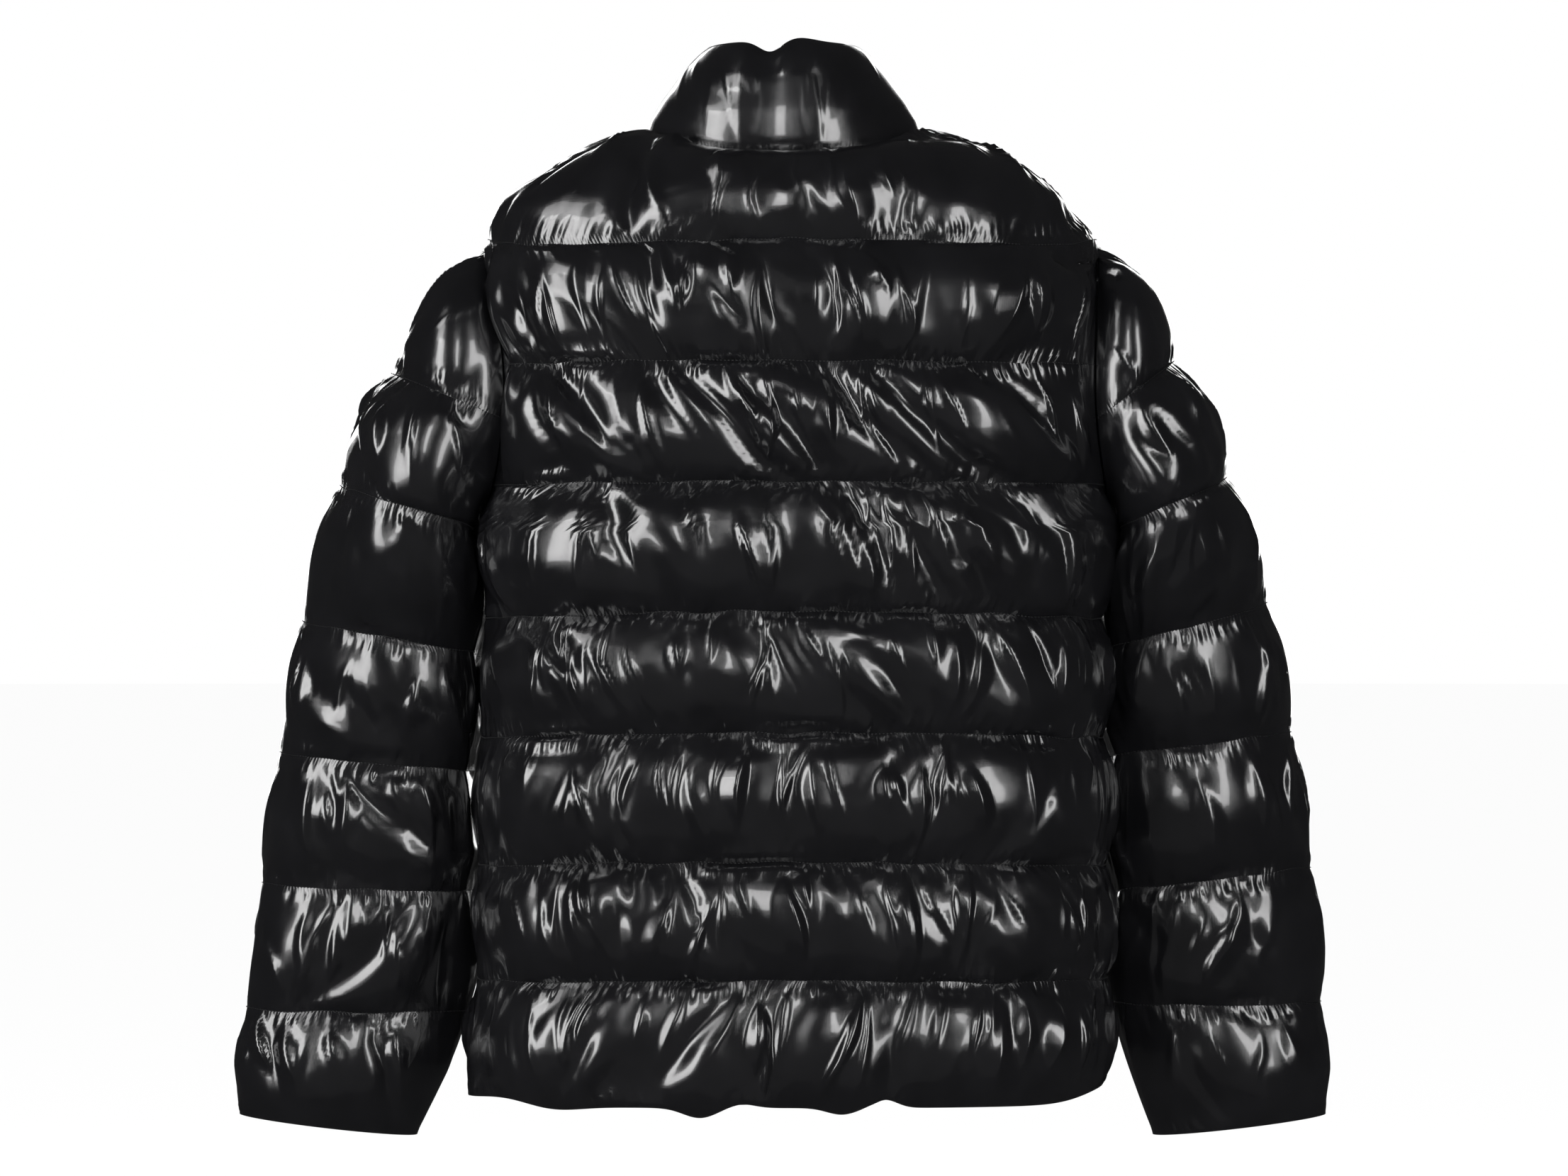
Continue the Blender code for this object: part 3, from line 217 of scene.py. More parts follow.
# Folds of the collar's back; low and high are shares of its height.
COLLAR_FOLDS = [
    # across    low   high    lean   width   depth
    (0.034,    0.50,  1.05,  -0.006,  0.014,  0.0022),
    (0.056,    0.05,  0.80,   0.006,  0.016,  0.0018),
    (0.019,    0.70,  1.12,   0.006,  0.0045, -0.0022),
    (0.010,    0.74,  1.22,   0.000,  0.0045, -0.0038),
    (0.001,    0.68,  1.18,  -0.003,  0.0070,  0.0034),
    (-0.009,   0.66,  1.14,   0.004,  0.0045, -0.0032),
    (-0.022,   0.68,  1.12,  -0.006,  0.0080,  0.0018),
    (-0.050,   0.10,  0.95,  -0.010,  0.0180,  0.0012),
]
# How far a wrinkle shifts towards the wearer's right on its way down through each baffle,
# from the hem up, as a share of the baffle's height.
TRUNK_LEAN = (-0.30, 0.25, -0.20, 0.30, 0.45, 0.50, 0.12, 0.0)
SLEEVE_LEAN = (0.20, -0.25, 0.30, 0.25, -0.20, 0.30, 0.10)

# Rows of a baffle, closest beside its quilting lines, as shares of its height.
ROW_STEPS = (0.0, 0.05, 0.12, 0.21, 0.31, 0.41, 0.51, 0.61, 0.71, 0.80, 0.88, 0.95)
ROWS = len(ROW_STEPS)
BACK_COLUMNS = 96         # on each half
FRONT_COLUMNS = 80
SLEEVE_COLUMNS = 112
LINING_STEP = 8           # the plain inside has one row and column to this many of the shell
COLLAR_FINE_ROWS = 24
COLLAR_COLUMNS = 40       # on each quarter
BAFFLE = 0.09             # a usual baffle's height

# Where the trunk's padding fades, in baffles: from so far below the underarm, and over how
# much; above the shoulder line; and towards the top of the yoke.
UNDERARM_FADE = (0.15, 0.5)
SHOULDER_FADE = 0.3
YOKE_FADE = 0.65
FACING_FADE = (0.40, 0.5)       # from how sideways the trunk faces, and over how much more
FACING_UP = 0.5                 # and over how many baffles up to the last one below the yoke
SHOULDER_CALM = (7.1, 0.4)      # the shoulders' tops: from this place, over so many baffles,
SHOULDER_CALM_SIDE = (0.05, 0.06)    # and from this far off the centre line, over so much
BESIDE_HELD = 0.85              # the shares of the room taken away beside a sleeve
SHOULDER_HELD = 0.95            # and at the shoulders' tops
HEM_REACH = 0.6                 # how high the hem's gathers reach

# How unevenly the quilting lines run: lift, width of a wave, and where they are held.
LINE_WANDER = 0.0022
LINE_WAVE = 0.030
LINE_HELD = 0.6

# How far in from its ends a row is kept as sewn, as shares of it: for wrinkles, for the
# quilting lines' unevenness and for the cloth's shift.
ROW_REACH = 0.04
LINE_REACH = 0.08
CUT_REACH = 0.10

# Round a sleeve: the shares of its loft, of its room and of its girth.
SLEEVE_LOFT = (0.30, 0.70, 0.8)      # least, what is added, and how it rounds off
SLEEVE_PRESS = (0.6, 0.4, 0.3)       # beside the trunk, more at the crown, over so many baffles
SLEEVE_BESIDE = 0.20
SLEEVE_HELD_IN = (0.9, 0.10, 0.12)   # taken away inside, from this share, over so much
SLEEVE_HELD_OUT = (0.8, 0.14)
TOP_STEPS = 5                        # rows from the crown to its seam over the shoulder

# Waves of a filled shell's unevenness: width in metres, length in baffles, weight.
BROAD_WAVE = (0.0125, 0.75, 0.75)
FINE_WAVE = (0.0065, 0.45, 0.10)
CALM_WAVE = (0.055, 1.1, 1.8)
LOUDNESS = (0.75, 0.15, 1.6)    # of the unevenness: usual, least and most
UNEVENNESS = 0.07               # how much of the loft the unevenness adds or takes
SLACK = 0.009                   # how far the cloth is shifted along a row, at most
SLACK_WAVE = 0.045
LEAN_SHARE = 0.2                # the share of a wrinkle's lean that the cloth is cut with
CALMINGS = 3                    # how often a filled row is smoothed
SEWN_AT = 0.7                   # the share of the frames in which the rows are drawn in

# A filled shell's height: the softness of its cap, its least share of the solid's, and the
# solid's rise from which it has all of its room.
CAP_SOFTNESS = 0.0012
LEAST_LOFT = 0.2
FULL_ROOM_RISE = 0.004

# Puckers beside a quilting line: lift, width of a wave, and where they are, in baffles.
PUCKER_LIFT = 0.0022
PUCKER_WAVE = 0.0034
PUCKER_AWAY = 0.06
PUCKER_REACH = 0.04
PUCKER_RISE = 0.003

# How the cloth behaves while it is gathered and filled.
CLOTH = {
    "quality": 5,
    "mass": 0.1,
    "tension_stiffness": 15,
    "compression_stiffness": 15,
    "shear_stiffness": 5,
    "bending_stiffness": 0.1,
    "tension_damping": 5,
    "compression_damping": 5,
    "shear_damping": 5,
    "air_damping": 1,
    "use_pressure": True,
}

# Creases: the distances between them; least and most of their upper ends, lengths,
# steepness and skew; half their width, and what may be added to it; how far they turn.
CREASE_STEPS = [0.006, 0.009, 0.014, 0.022, 0.034]
CREASE_TOPS = (0.74, 1.02)
CREASE_LENGTHS = (0.35, 0.90)
CREASE_STEEPNESS = (0.22, 0.60)
CREASE_SKEW = (0.18, 0.82)
CREASE_HALF = (0.0030, 0.0080)
CREASE_TURN = 0.18
CREASE_RISE = 0.006

# Each quilted piece: its seed, its flat size and its area.
SHEETS = {
    "back":         (1.3,  (0.66, 0.86), 0.50),
    "front_left":   (5.1,  (0.33, 0.86), 0.24),
    "front_right":  (7.7,  (0.33, 0.86), 0.24),
    "sleeve_left":  (11.9, (0.48, 0.75), 0.29),
    "sleeve_right": (17.2, (0.48, 0.75), 0.29),
    "collar":       (23.4, (0.60, 0.09), 0.049),
}

STITCH_SHARE = 0.72       # a stitch's share of the pitch

CRINKLE_DEEP = 0.0012     # how deep the shell's bumps are: creases, seam puckers and weave
PUCKER_DEEP = 0.0014
WEAVE_DEEP = 0.0001

TAPE_THICK = 0.001
TAPE_GAP = 0.0006
TAPE_HALF = 0.014
CHAIN_HALF = 0.0032
CHAIN_THICK = 0.0022
TOOTH_LAP = 0.0009        # how far a tooth reaches past the centre line
ZIP_TOP_DROP = 0.003
TAPE_STEP = 0.006
TAPE_EDGE = 0.00015       # the tapes' edges are this far off the centre line
TAPE_BEVEL = 0.0002
TOOTH_BEVEL = 0.00022
TOOTH_SHARE = 0.40        # a tooth's share of the pitch

CAMERA_PLACE = (0.0, 4.0, -0.336)
CAMERA_LENS = 125.4
FLOOR_Z = -1.45            # the hem of a worn jacket is this much above the ground
FLOOR_RADIUS = 60.0
LIGHTS = [
    # name          place               size          power
    ("key_left",    (3.0, 2.7, 0.25),   (1.30, 3.3),  130.0),
    ("key_right",   (-2.2, 3.4, 0.4),   (0.70, 3.2),  70.0),
    ("top",         (0.15, 3.7, 1.0),   (0.40, 1.8),  28.0),
    ("wide",        (0.0, 4.6, 2.4),    (5.0, 2.2),   4.0),
    ("high_left",   (2.4, 1.6, 1.7),    (1.00, 1.00), 16.0),
    ("low",         (0.0, 2.2, -1.40),  (3.6, 2.4),   1.3),
    ("fill_left",   (1.3, -3.8, 0.5),   (1.0, 2.2),   30.0),
    ("fill_right",  (-1.0, -3.9, 0.5),  (1.0, 2.2),   30.0),
]

LIGHT_AIM = (0.0, 0.0, -0.35)
REFLECTED_WORLD = 0.025   # the world's strength in the jacket's reflections

MADE = {}                 # panels and finishes, each worked out once


# ---------------------------------------------------------------- sizes and colours
def length(name, text, value):
    """A size in metres."""
    return bpy.props.FloatProperty(
        name=name, description=text, default=value, min=0.0, precision=5, unit="LENGTH"
    )


def factor(name, text, value):
    """A share, 0 to 1."""
    return bpy.props.FloatProperty(
        name=name, description=text, default=value, min=0.0, max=1.0, subtype="FACTOR"
    )


def colour(name, text, value):
    """A colour."""
    return bpy.props.FloatVectorProperty(
        name=name, description=text, default=value, min=0.0, max=1.0, subtype="COLOR"
    )


class JacketSizes(bpy.types.PropertyGroup):
    """Sizes that a user would change."""

    wall: length("Wall", "Shell, padding and lining pressed together at a seam", 0.003)
    body_rise: length("Body rise", "How far padding lifts the body's shell", 0.017)
    sleeve_rise: length("Sleeve rise", "How far padding lifts a sleeve's shell", 0.0135)
    collar_rise: length("Collar rise", "How far padding lifts the collar's shell", 0.0085)
    gather: factor("Gather", "Cloth gathered into a quilting line", 0.05)
    room: length("Room", "How far a filled shell may stand past its solid", 0.006)
    pressure: bpy.props.FloatProperty(
        name="Pressure", description="How hard the down fills a baffle", default=120.0, min=0.0
    )
    steps: bpy.props.IntProperty(
        name="Steps", description="Frames in which the panels are gathered", default=24, min=4
    )
    stitch_pitch: length("Stitch pitch", "From one stitch to the next", 0.0027)
    stitch_thick: length("Stitch thickness", "Thread that shows on the shell", 0.0007)
    tooth_pitch: length("Tooth pitch", "From one zip tooth to the next on a side", 0.0030)
    weave_pitch: length("Weave pitch", "Between the heavier threads of the shell", 0.0011)


class JacketColours(bpy.types.PropertyGroup):
    """Colours that a user would change."""

    shell: colour("Shell", "Glossy nylon", (0.0028, 0.0028, 0.0032))
    lining: colour("Lining", "Plain inside", (0.012, 0.012, 0.013))
    thread: colour("Thread", "Quilting thread", (0.004, 0.004, 0.0045))
    tape: colour("Zip tape", "Woven tape", (0.010, 0.010, 0.011))
    teeth: colour("Zip teeth", "Moulded plastic teeth", (0.012, 0.012, 0.013))
    metal: colour("Zip metal", "Slider and pull", (0.06, 0.06, 0.063))
    floor: colour("Floor", "Pale floor", (0.97, 0.97, 0.97))


# ---------------------------------------------------------------- tables and curves
def column(table, index, at):
    """A table's column read at a fractional row, on a smooth curve through its rows."""
    values = [row[index] for row in table]
    last = len(values) - 1
    low = min(max(int(math.floor(at)), 0), last - 1)
    share = min(max(at - low, 0.0), 1.0)
    p1, p2 = values[low], values[low + 1]
    p0 = values[low - 1] if low > 0 else 2 * p1 - p2
    p3 = values[low + 2] if low + 2 <= last else 2 * p2 - p1
    bend = 2 * p0 - 5 * p1 + 4 * p2 - p3
    twist = 3 * (p1 - p2) + p3 - p0
    return p1 + 0.5 * share * (p2 - p0 + share * (bend + share * twist))


def run_along(points):
    """How far along a curve each of its points lies."""
    steps = np.linalg.norm(np.diff(points, axis=0), axis=1)
    return np.concatenate([[0.0], np.cumsum(steps)])


def read_along(values, run, shares):
    """Values along a curve, read at shares of its length."""
    at = np.asarray(shares) * run[-1]
    return np.stack([np.interp(at, run, values[:, k]) for k in range(3)], axis=1)


def spread(points, shares):
    """Points at the given shares of a curve's length."""
    points = np.asarray(points, float)
    return read_along(points, run_along(points), shares)


def quarter(end, roundness, count=240):
    """Shares (0 to 1) across and along a rounded quarter turn."""
    angle = np.linspace(0.0, end, count)
    power = 2 / roundness
    return np.abs(np.sin(angle)) ** power, np.abs(np.cos(angle)) ** power


def smooth(x):
    """0 to 1 with a level start and end."""
    x = np.clip(x, 0.0, 1.0)
    return x * x * (3 - 2 * x)


def wave(x, y, seed):
    """Smooth noise at a place, -1 to 1."""
    return noise.noise(Vector((x, y, seed)))


def unit(vectors):
    """Vectors of length 1."""
    return vectors / np.maximum(np.linalg.norm(vectors, axis=-1, keepdims=True), 1e-12)


def from_zip(points, side):
    """The part of a front's row that lies outside the zip's slot."""
    points = points[side * points[:, 0] > ZIP_HALF]
    first = points[0].copy()
    first[0] = side * ZIP_HALF
    return np.vstack([first, points])


# ---------------------------------------------------------------- the trunk's surface
def side_angle(level, bite):
    """How far round a row ends: less than a quarter turn where the armhole bites in."""
    rise = (level - UNDERARM) / (SHOULDER - UNDERARM)
    if not 0 < rise < 1:
        return math.radians(90)
    return math.radians(90 - bite * math.sin(math.pi * rise) ** ARMHOLE_ROUNDNESS)


def trunk_row(level, face, side, shares):
    """A row of the trunk from the centre line to its side end."""
    middle_z, drop, half_width, centre_x, back_depth, front_depth = (
        column(TRUNK, index, level) for index in range(1, 7)
    )
    depth, bite = (back_depth, BACK_BITE) if face > 0 else (front_depth, FRONT_BITE)
    across, along = quarter(side_angle(level, bite), SQUARENESS)
    lift = SHOULDER_LIFT * min(max(level - SHOULDER + 1, 0), 1) ** 2
    x = centre_x + side * half_width * across
    z = middle_z + drop * across**2 + lift * across**10
    points = np.stack([x, face * depth * along, z], axis=1)
    return spread(points if face > 0 else from_zip(points, side), shares)


def neck_row(face, side, shares):
    """The collar seam from the centre line to the neck point."""
    across, along = quarter(math.pi / 2, NECK_BACK_ROUND if face > 0 else NECK_FRONT_ROUND)
    middle = NECK_BACK if face > 0 else NECK_FRONT
    points = np.stack(
        [side * NECK_HALF_WIDTH * across, middle[0] * along, middle[1] * along**1.3], axis=1
    )
    return spread(points if face > 0 else from_zip(points, side), shares)


def shoulder_seam(side, shares):
    """The shoulder seam, from the shoulder point up to the neck point."""
    start = trunk_row(SHOULDER, 1, side, [1.0])[0]
    end_x = side * NECK_HALF_WIDTH
    back = np.linspace(1.0, 0.0, 60)
    x = end_x + (start[0] - end_x) * back
    return spread(np.stack([x, 0 * x, start[2] * back**SHOULDER_SWEEP], axis=1), shares)


def yoke_middle(low, high, shares):
    """The centre line of the yoke: between a straight line and a quarter ellipse."""
    angle = np.linspace(0, math.pi / 2, 60)
    straight = np.linspace(0, 1, 60)
    over = YOKE_ROUND * (1 - np.cos(angle)) + (1 - YOKE_ROUND) * straight
    up = YOKE_ROUND * np.sin(angle) + (1 - YOKE_ROUND) * straight
    return spread(low + (high - low) * np.stack([over, over, up], axis=1), shares)


def yoke_row(part, face, side, shares):
    """A row of the yoke: a patch between the top quilting line, the collar seam, the centre
    line and the shoulder seam."""
    low, high = trunk_row(SHOULDER, face, side, shares), neck_row(face, side, shares)
    middle = yoke_middle(low[0], high[0], [part])[0]
    end = shoulder_seam(side, [part])[0]
    t = np.asarray(shares)[:, None]
    start = (1 - part) * low[0] + part * high[0]
    stop = (1 - part) * low[-1] + part * high[-1]
    return (1 - part) * low + part * high + (1 - t) * (middle - start) + t * (end - stop)


def trunk_places():
    """Row places in baffles above the hem. One row lies at the underarm."""
    places = np.append(np.add.outer(np.arange(NECK), ROW_STEPS).reshape(-1), NECK)
    places[np.argmin(np.abs(places - UNDERARM))] = UNDERARM
    return places


def half_panel(face, side, columns):
    """Points of half of the back, or of one front, at seam level."""
    shares = np.linspace(0, 1, columns + 1)
    return np.array([
        trunk_row(place, face, side, shares)
        if place <= SHOULDER
        else yoke_row(place - SHOULDER, face, side, shares)
        for place in trunk_places()
    ])


def outward(base):
    """Unit outward directions of a grid whose columns run to the wearer's right."""
    return unit(np.cross(np.gradient(base, axis=1), np.gradient(base, axis=0)))


# ---------------------------------------------------------------- a quilted panel
class Panel:
    """A quilted panel as a grid of points at seam level.

    places: each row's place in baffles, whole at a quilting line. out: outward directions.
    rise: how far the padding lifts the shell in the solid. room: how much further it may
    stand. lean: see TRUNK_LEAN. rings: how many of the rows are closed rings. grain: how
    coarse the wrinkles are. slackness and roughness: shares of the usual gather and
    unevenness. creases: share of the usual creases. evenly: whether the cloth is cut with
    evenly spaced columns. depth: how deep the plain inside lies, where it varies."""

    grain = 1.0
    slackness = 1.0
    roughness = 1.0
    creases = 1.0
    evenly = True
    depth = None

    def __init__(self, base, out, places, rise, room, lean, rings=0):
        self.base, self.out, self.places = base, out, places
        self.rise, self.room, self.lean, self.rings = rise, room, lean, rings

    def lean_at(self, place):
        """The lean of the wrinkles in a place's baffle."""
        return self.lean[min(int(place), len(self.lean) - 1)]

    @property
    def run(self):
        """How far along its row each point lies, from the row's middle."""
        runs = [run_along(row) for row in self.base]
        return np.array([run - run[-1] / 2 for run in runs])

    @property
    def lines(self):
        """The rows that are quilting lines or the panel's own ends."""
        return np.flatnonzero(np.abs(self.places - np.round(self.places)) < 1e-6)


def baffle_loft(places):
    """0 at a quilting line and 1 in the middle of a baffle, for each row."""
    return np.sin(math.pi * (places % 1.0)) ** LOFT_POWER


def edge_share(places):
    """The share of the loft at a panel's side edge: none at the armhole."""
    start, over = UNDERARM_FADE
    below = np.clip((UNDERARM - start - places) / over, 0, 1)
    above = np.clip((places - SHOULDER) / SHOULDER_FADE, 0, 1)
    return BODY_EDGE_LOFT * np.maximum(below, above)


def edge_pinch(columns, left, right, reach):
    """The share of the loft across a panel, for each row: full inside, and as given at the
    row's two ends."""
    t = np.linspace(0, 1, columns + 1)[None, :]
    left, right, reach = (np.reshape(value, (-1, 1)) for value in (left, right, reach))
    return (
        1 - (1 - left) * (1 - smooth(t / reach)) - (1 - right) * (1 - smooth((1 - t) / reach))
    )


def yoke_reach(places):
    """How far a side edge pinches each row: further in the yoke, towards the shoulder."""
    return EDGE_REACH + (YOKE_EDGE_REACH - EDGE_REACH) * smooth((places - SHOULDER) / YOKE_FADE)


def beside_sleeve(out, places):
    """1 where the trunk faces a sleeve, and 0 elsewhere."""
    start, over = FACING_FADE
    facing = smooth((np.abs(out[:, :, 0]) - start) / over)
    return facing * np.clip((SHOULDER - 1 - places) / FACING_UP, 0, 1)[:, None]


def wander(base, places, top, seed):
    """Lets the quilting lines run slightly unevenly, but not the panel's own edges."""
    for row, place in enumerate(places):
        held = np.clip(place / LINE_HELD, 0, 1) * np.clip((top - place) / LINE_HELD, 0, 1)
        fade = held * window_of(base.shape[1], LINE_REACH)
        for col, x in enumerate(run_along(base[row])):
            shift = LINE_WANDER * fade[col] * wave(x / LINE_WAVE, place * 1.7, seed)
            base[row, col, 2] += shift


def fold_relief(across, places, folds):
    """Height of the folds over a panel."""
    relief = np.zeros_like(across)
    for place, low, high, lean, width, depth in folds:
        part = (places[:, None] - low) / (high - low)
        ends = np.sqrt(np.maximum(np.sin(math.pi * np.clip(part, 0, 1)), 0))
        centre = place + lean * (part - 0.5)
        relief += depth * ends * np.exp(-(((across - centre) / width) ** 2))
    return relief


def trunk_panel(base, pinch, sizes, folds=()):
    """A trunk panel from its points, the pinch of its ends and its folds."""
    places = trunk_places()
    wander(base, places, NECK, 2.7 + base[0, 0, 0])
    out = outward(base)
    beside = beside_sleeve(out, places)
    full = baffle_loft(places)[:, None] * pinch * (1 - SIDE_PRESS * beside)
    rise = sizes.body_rise * full
    rise += fold_relief(base[:, :, 0], places, folds) * np.sqrt(np.clip(full, 0, 1))
    start, over = SHOULDER_CALM
    side_start, side_over = SHOULDER_CALM_SIDE
    shoulder = smooth((places[:, None] - start) / over)
    shoulder = shoulder * smooth((np.abs(base[:, :, 0]) - side_start) / side_over)
    room = sizes.room * (1 - BESIDE_HELD * beside) * (1 - SHOULDER_HELD * shoulder)
    return Panel(base, out, places, rise, room, TRUNK_LEAN)


def gathers(across, table):
    """How far the gathers in a table lift an edge."""
    return sum(
        height * np.exp(-(((across - place) / half) ** 2)) for place, half, height in table
    )


def hem_share(places):
    """1 at the hem, fading upwards, for each row."""
    return (np.clip(1 - places / HEM_REACH, 0, 1) ** 1.5)[:, None]


def back_panel(sizes):
    """The back. Its columns run from the wearer's left to right."""
    left, right = half_panel(1, 1, BACK_COLUMNS), half_panel(1, -1, BACK_COLUMNS)
    base = np.concatenate([left[:, ::-1], right[:, 1:]], axis=1)
    places = trunk_places()
    edge = edge_share(places)
    pinch = edge_pinch(2 * BACK_COLUMNS, edge, edge, yoke_reach(places) / 2)
    panel = trunk_panel(base, pinch, sizes, BACK_FOLDS)
    panel.base[:, :, 2] += gathers(base[:, :, 0], HEM_GATHERS) * hem_share(places)
    return panel


def front_panel(side, sizes):
    """A front. Its columns run from the wearer's left to right too."""
    base = half_panel(-1, side, FRONT_COLUMNS)
    places = trunk_places()
    pinch = edge_pinch(FRONT_COLUMNS, 0.0, edge_share(places), yoke_reach(places))
    if side < 0:
        base, pinch = base[:, ::-1], pinch[:, ::-1]
    panel = trunk_panel(base, pinch, sizes)
    panel.base[:, :, 2] += gathers(base[:, :, 0], HEM_GATHERS[-1:]) * hem_share(places)
    return panel


# ---------------------------------------------------------------- sleeves
def sleeve_half(end, outer, half_depth, shares):
    """Half of a sleeve's row: from its inner end round to its outer point."""
    reach = abs(end[1] - outer[1])
    depth = max(half_depth, reach + 0.0005)
    way = 1 if end[1] >= outer[1] else -1
    start = math.asin(reach / depth)
    half_width = (outer[0] - end[0]) / (1 + math.cos(start))
    angle = np.linspace(start, math.pi, 200)
    x = outer[0] - half_width * (1 + np.cos(angle))
    z = end[2] + (outer[2] - end[2]) * (x - end[0]) / (outer[0] - end[0])
    points = np.stack([x, outer[1] + way * depth * np.sin(angle), z], axis=1)
    return spread(points, shares)


def sleeve_row(back_end, front_end, outer, half_depth):
    """A row from the back end round the outside to the front end."""
    shares = np.linspace(0, 1, SLEEVE_COLUMNS // 2 + 1)
    nudge = np.array([0.0, 1e-9, 0.0])
    back = sleeve_half(back_end + nudge, outer, half_depth, shares)
    front = sleeve_half(front_end - nudge, outer, half_depth, shares)
    return np.concatenate([back, front[::-1][1:]])


class Armhole:
    """A trunk panel's armhole edge, by the share of the way up from the underarm."""

    def __init__(self, panel, side, end, beside):
        places = panel.places
        edge = panel.base[:, end].copy()
        out = unit(np.cross(np.gradient(edge, axis=0), panel.out[:, end]))
        out *= np.sign(np.sum(out * (edge - panel.base[:, beside]), axis=1, keepdims=True))
        for row in (np.argmin(np.abs(places - UNDERARM)), np.argmin(np.abs(places - SHOULDER))):
            edge[row, 1] = 0
            out[row] = (0, 0, 1) if places[row] < SHOULDER else (side * 0.8, 0, -0.6)
        self.rises = (places - UNDERARM) / (SHOULDER - UNDERARM)
        self.points, self.way = edge, out + panel.out[:, end]

    def sewn(self, rises):
        """Where the sleeve's edge runs, just off the trunk's."""
        rises = np.asarray(rises, float)
        point, step = (
            np.stack([np.interp(rises, self.rises, values[:, k]) for k in range(3)], axis=-1)
            for values in (self.points, self.way)
        )
        gap = ARMHOLE_GAP * (1 + UNDERARM_EASE * np.exp(-rises / EASE_REACH))
        return point + gap[..., None] * unit(step)


class TrunkSide:
    """How far the filled trunk reaches to one side, for any height and depth."""

    def __init__(self, side, back, front):
        rows = int(SHOULDER * ROWS) + 1
        filled = [panel.base + panel.rise[:, :, None] * panel.out for panel in (back, front)]
        self.depths = np.linspace(-SIDE_DEPTH, SIDE_DEPTH, 97)
        self.heights, reach = [], []
        for row in range(rows):
            x, y = (np.concatenate([part[row][:, k] for part in filled]) for k in (0, 1))
            out = side * x > SIDE_FROM
            order = np.argsort(y[out])
            reach.append(np.interp(self.depths, y[out][order], side * x[out][order]))
            self.heights.append(filled[0][row, BACK_COLUMNS, 2])
        padded = np.array([reach[0], *reach, reach[-1]])
        self.reach = np.max([padded[:-2], padded[1:-1], padded[2:]], axis=0)

    def at(self, y, z):
        """The reach at any depths and heights."""
        row = np.interp(z, self.heights, np.arange(len(self.heights)))
        col = np.interp(y, self.depths, np.arange(len(self.depths)))
        r = np.minimum(row.astype(int), len(self.heights) - 2)
        c = np.minimum(col.astype(int), len(self.depths) - 2)
        dr, dc = row - r, col - c
        near = self.reach[r, c] * (1 - dc) + self.reach[r, c + 1] * dc
        far = self.reach[r + 1, c] * (1 - dc) + self.reach[r + 1, c + 1] * dc
        return near * (1 - dr) + far * dr


def clear_of_trunk(points, side, trunk, gap, softness):
    """Moves points away from the trunk."""
    over = trunk.at(points[:, :, 1], points[:, :, 2]) + gap - side * points[:, :, 0]
    points[:, :, 0] += side * softness * np.logaddexp(0, over / softness)
    return points


def crown_rises(quilting):
    """Where the crown's rows meet the armhole. One of them is its quilting line."""
    places = trunk_places()
    places = places[(places > UNDERARM - 1e-6) & (places < SHOULDER - CROWN_END)]
    rises = (places - UNDERARM) / (SHOULDER - UNDERARM)
    rises[np.argmin(np.abs(rises - quilting))] = quilting
    return rises


def top_rises():
    """Where the points of the crown's last row meet the armhole, over the shoulder."""
    away = np.abs(np.linspace(-1, 1, SLEEVE_COLUMNS + 1))
    known, below = np.transpose(CROWN_SEAM)
    place = np.interp(away, known, SHOULDER - below)
    return (place - UNDERARM) / (SHOULDER - UNDERARM)


def sleeve_rows(side, rings, crown, back, front):
    """A sleeve's rows from the cuff up, their places, and how many are rings. x is positive
    on both sides."""
    mirror = np.array([side, 1.0, 1.0])
    underarm = (back.sewn(0.0) + front.sewn(0.0)) / 2 * mirror
    low = crown[0]
    underarm[1] = low[4]
    whole = [*rings, (low[0], low[2], low[3], underarm[0], underarm[2], low[4], low[5])]
    rows, places = [], []
    for at in np.add.outer(np.arange(len(rings)), ROW_STEPS).reshape(-1):
        ox, oz, ix, iz, cy, depth = (column(whole, k, at) for k in range(1, 7))
        ox += SLEEVE_EASE
        inner = np.array([ix, cy, iz])
        rows.append(sleeve_row(inner, inner, np.array([ox, cy, oz]), depth))
        places.append(at)
    ring_count = len(rows) + 1
    at_rise = [row[1] for row in crown]
    for rise in crown_rises(at_rise[2]):
        at = float(np.interp(rise, at_rise, np.arange(len(at_rise))))
        ox, oz, cy, depth = (column(crown, k, at) for k in range(2, 6))
        ox += SLEEVE_EASE * (1 - rise)
        ends = (underarm, underarm) if rise < 1e-6 else (
            back.sewn(rise) * mirror, front.sewn(rise) * mirror)
        rows.append(sleeve_row(*ends, np.array([ox, cy, oz]), depth))
        cap = (rise - at_rise[2]) / (1 - at_rise[2])
        places.append(len(rings) + (at / 2 if at < 2 else 1 + cap))
    rises = top_rises()
    half = SLEEVE_COLUMNS // 2
    behind, before = back.sewn(rises), front.sewn(rises)
    over = (behind[half] + before[half]) / 2
    top = np.concatenate([behind[:half], [over], before[half + 1:]]) * mirror
    last, start = rows[-1], places[-1]
    for part in np.linspace(0, 1, TOP_STEPS + 1)[1:]:
        rows.append(last + (top - last) * part)
        places.append(start + (len(rings) + 2 - start) * part)
    return np.array(rows) * mirror, np.array(places), ring_count


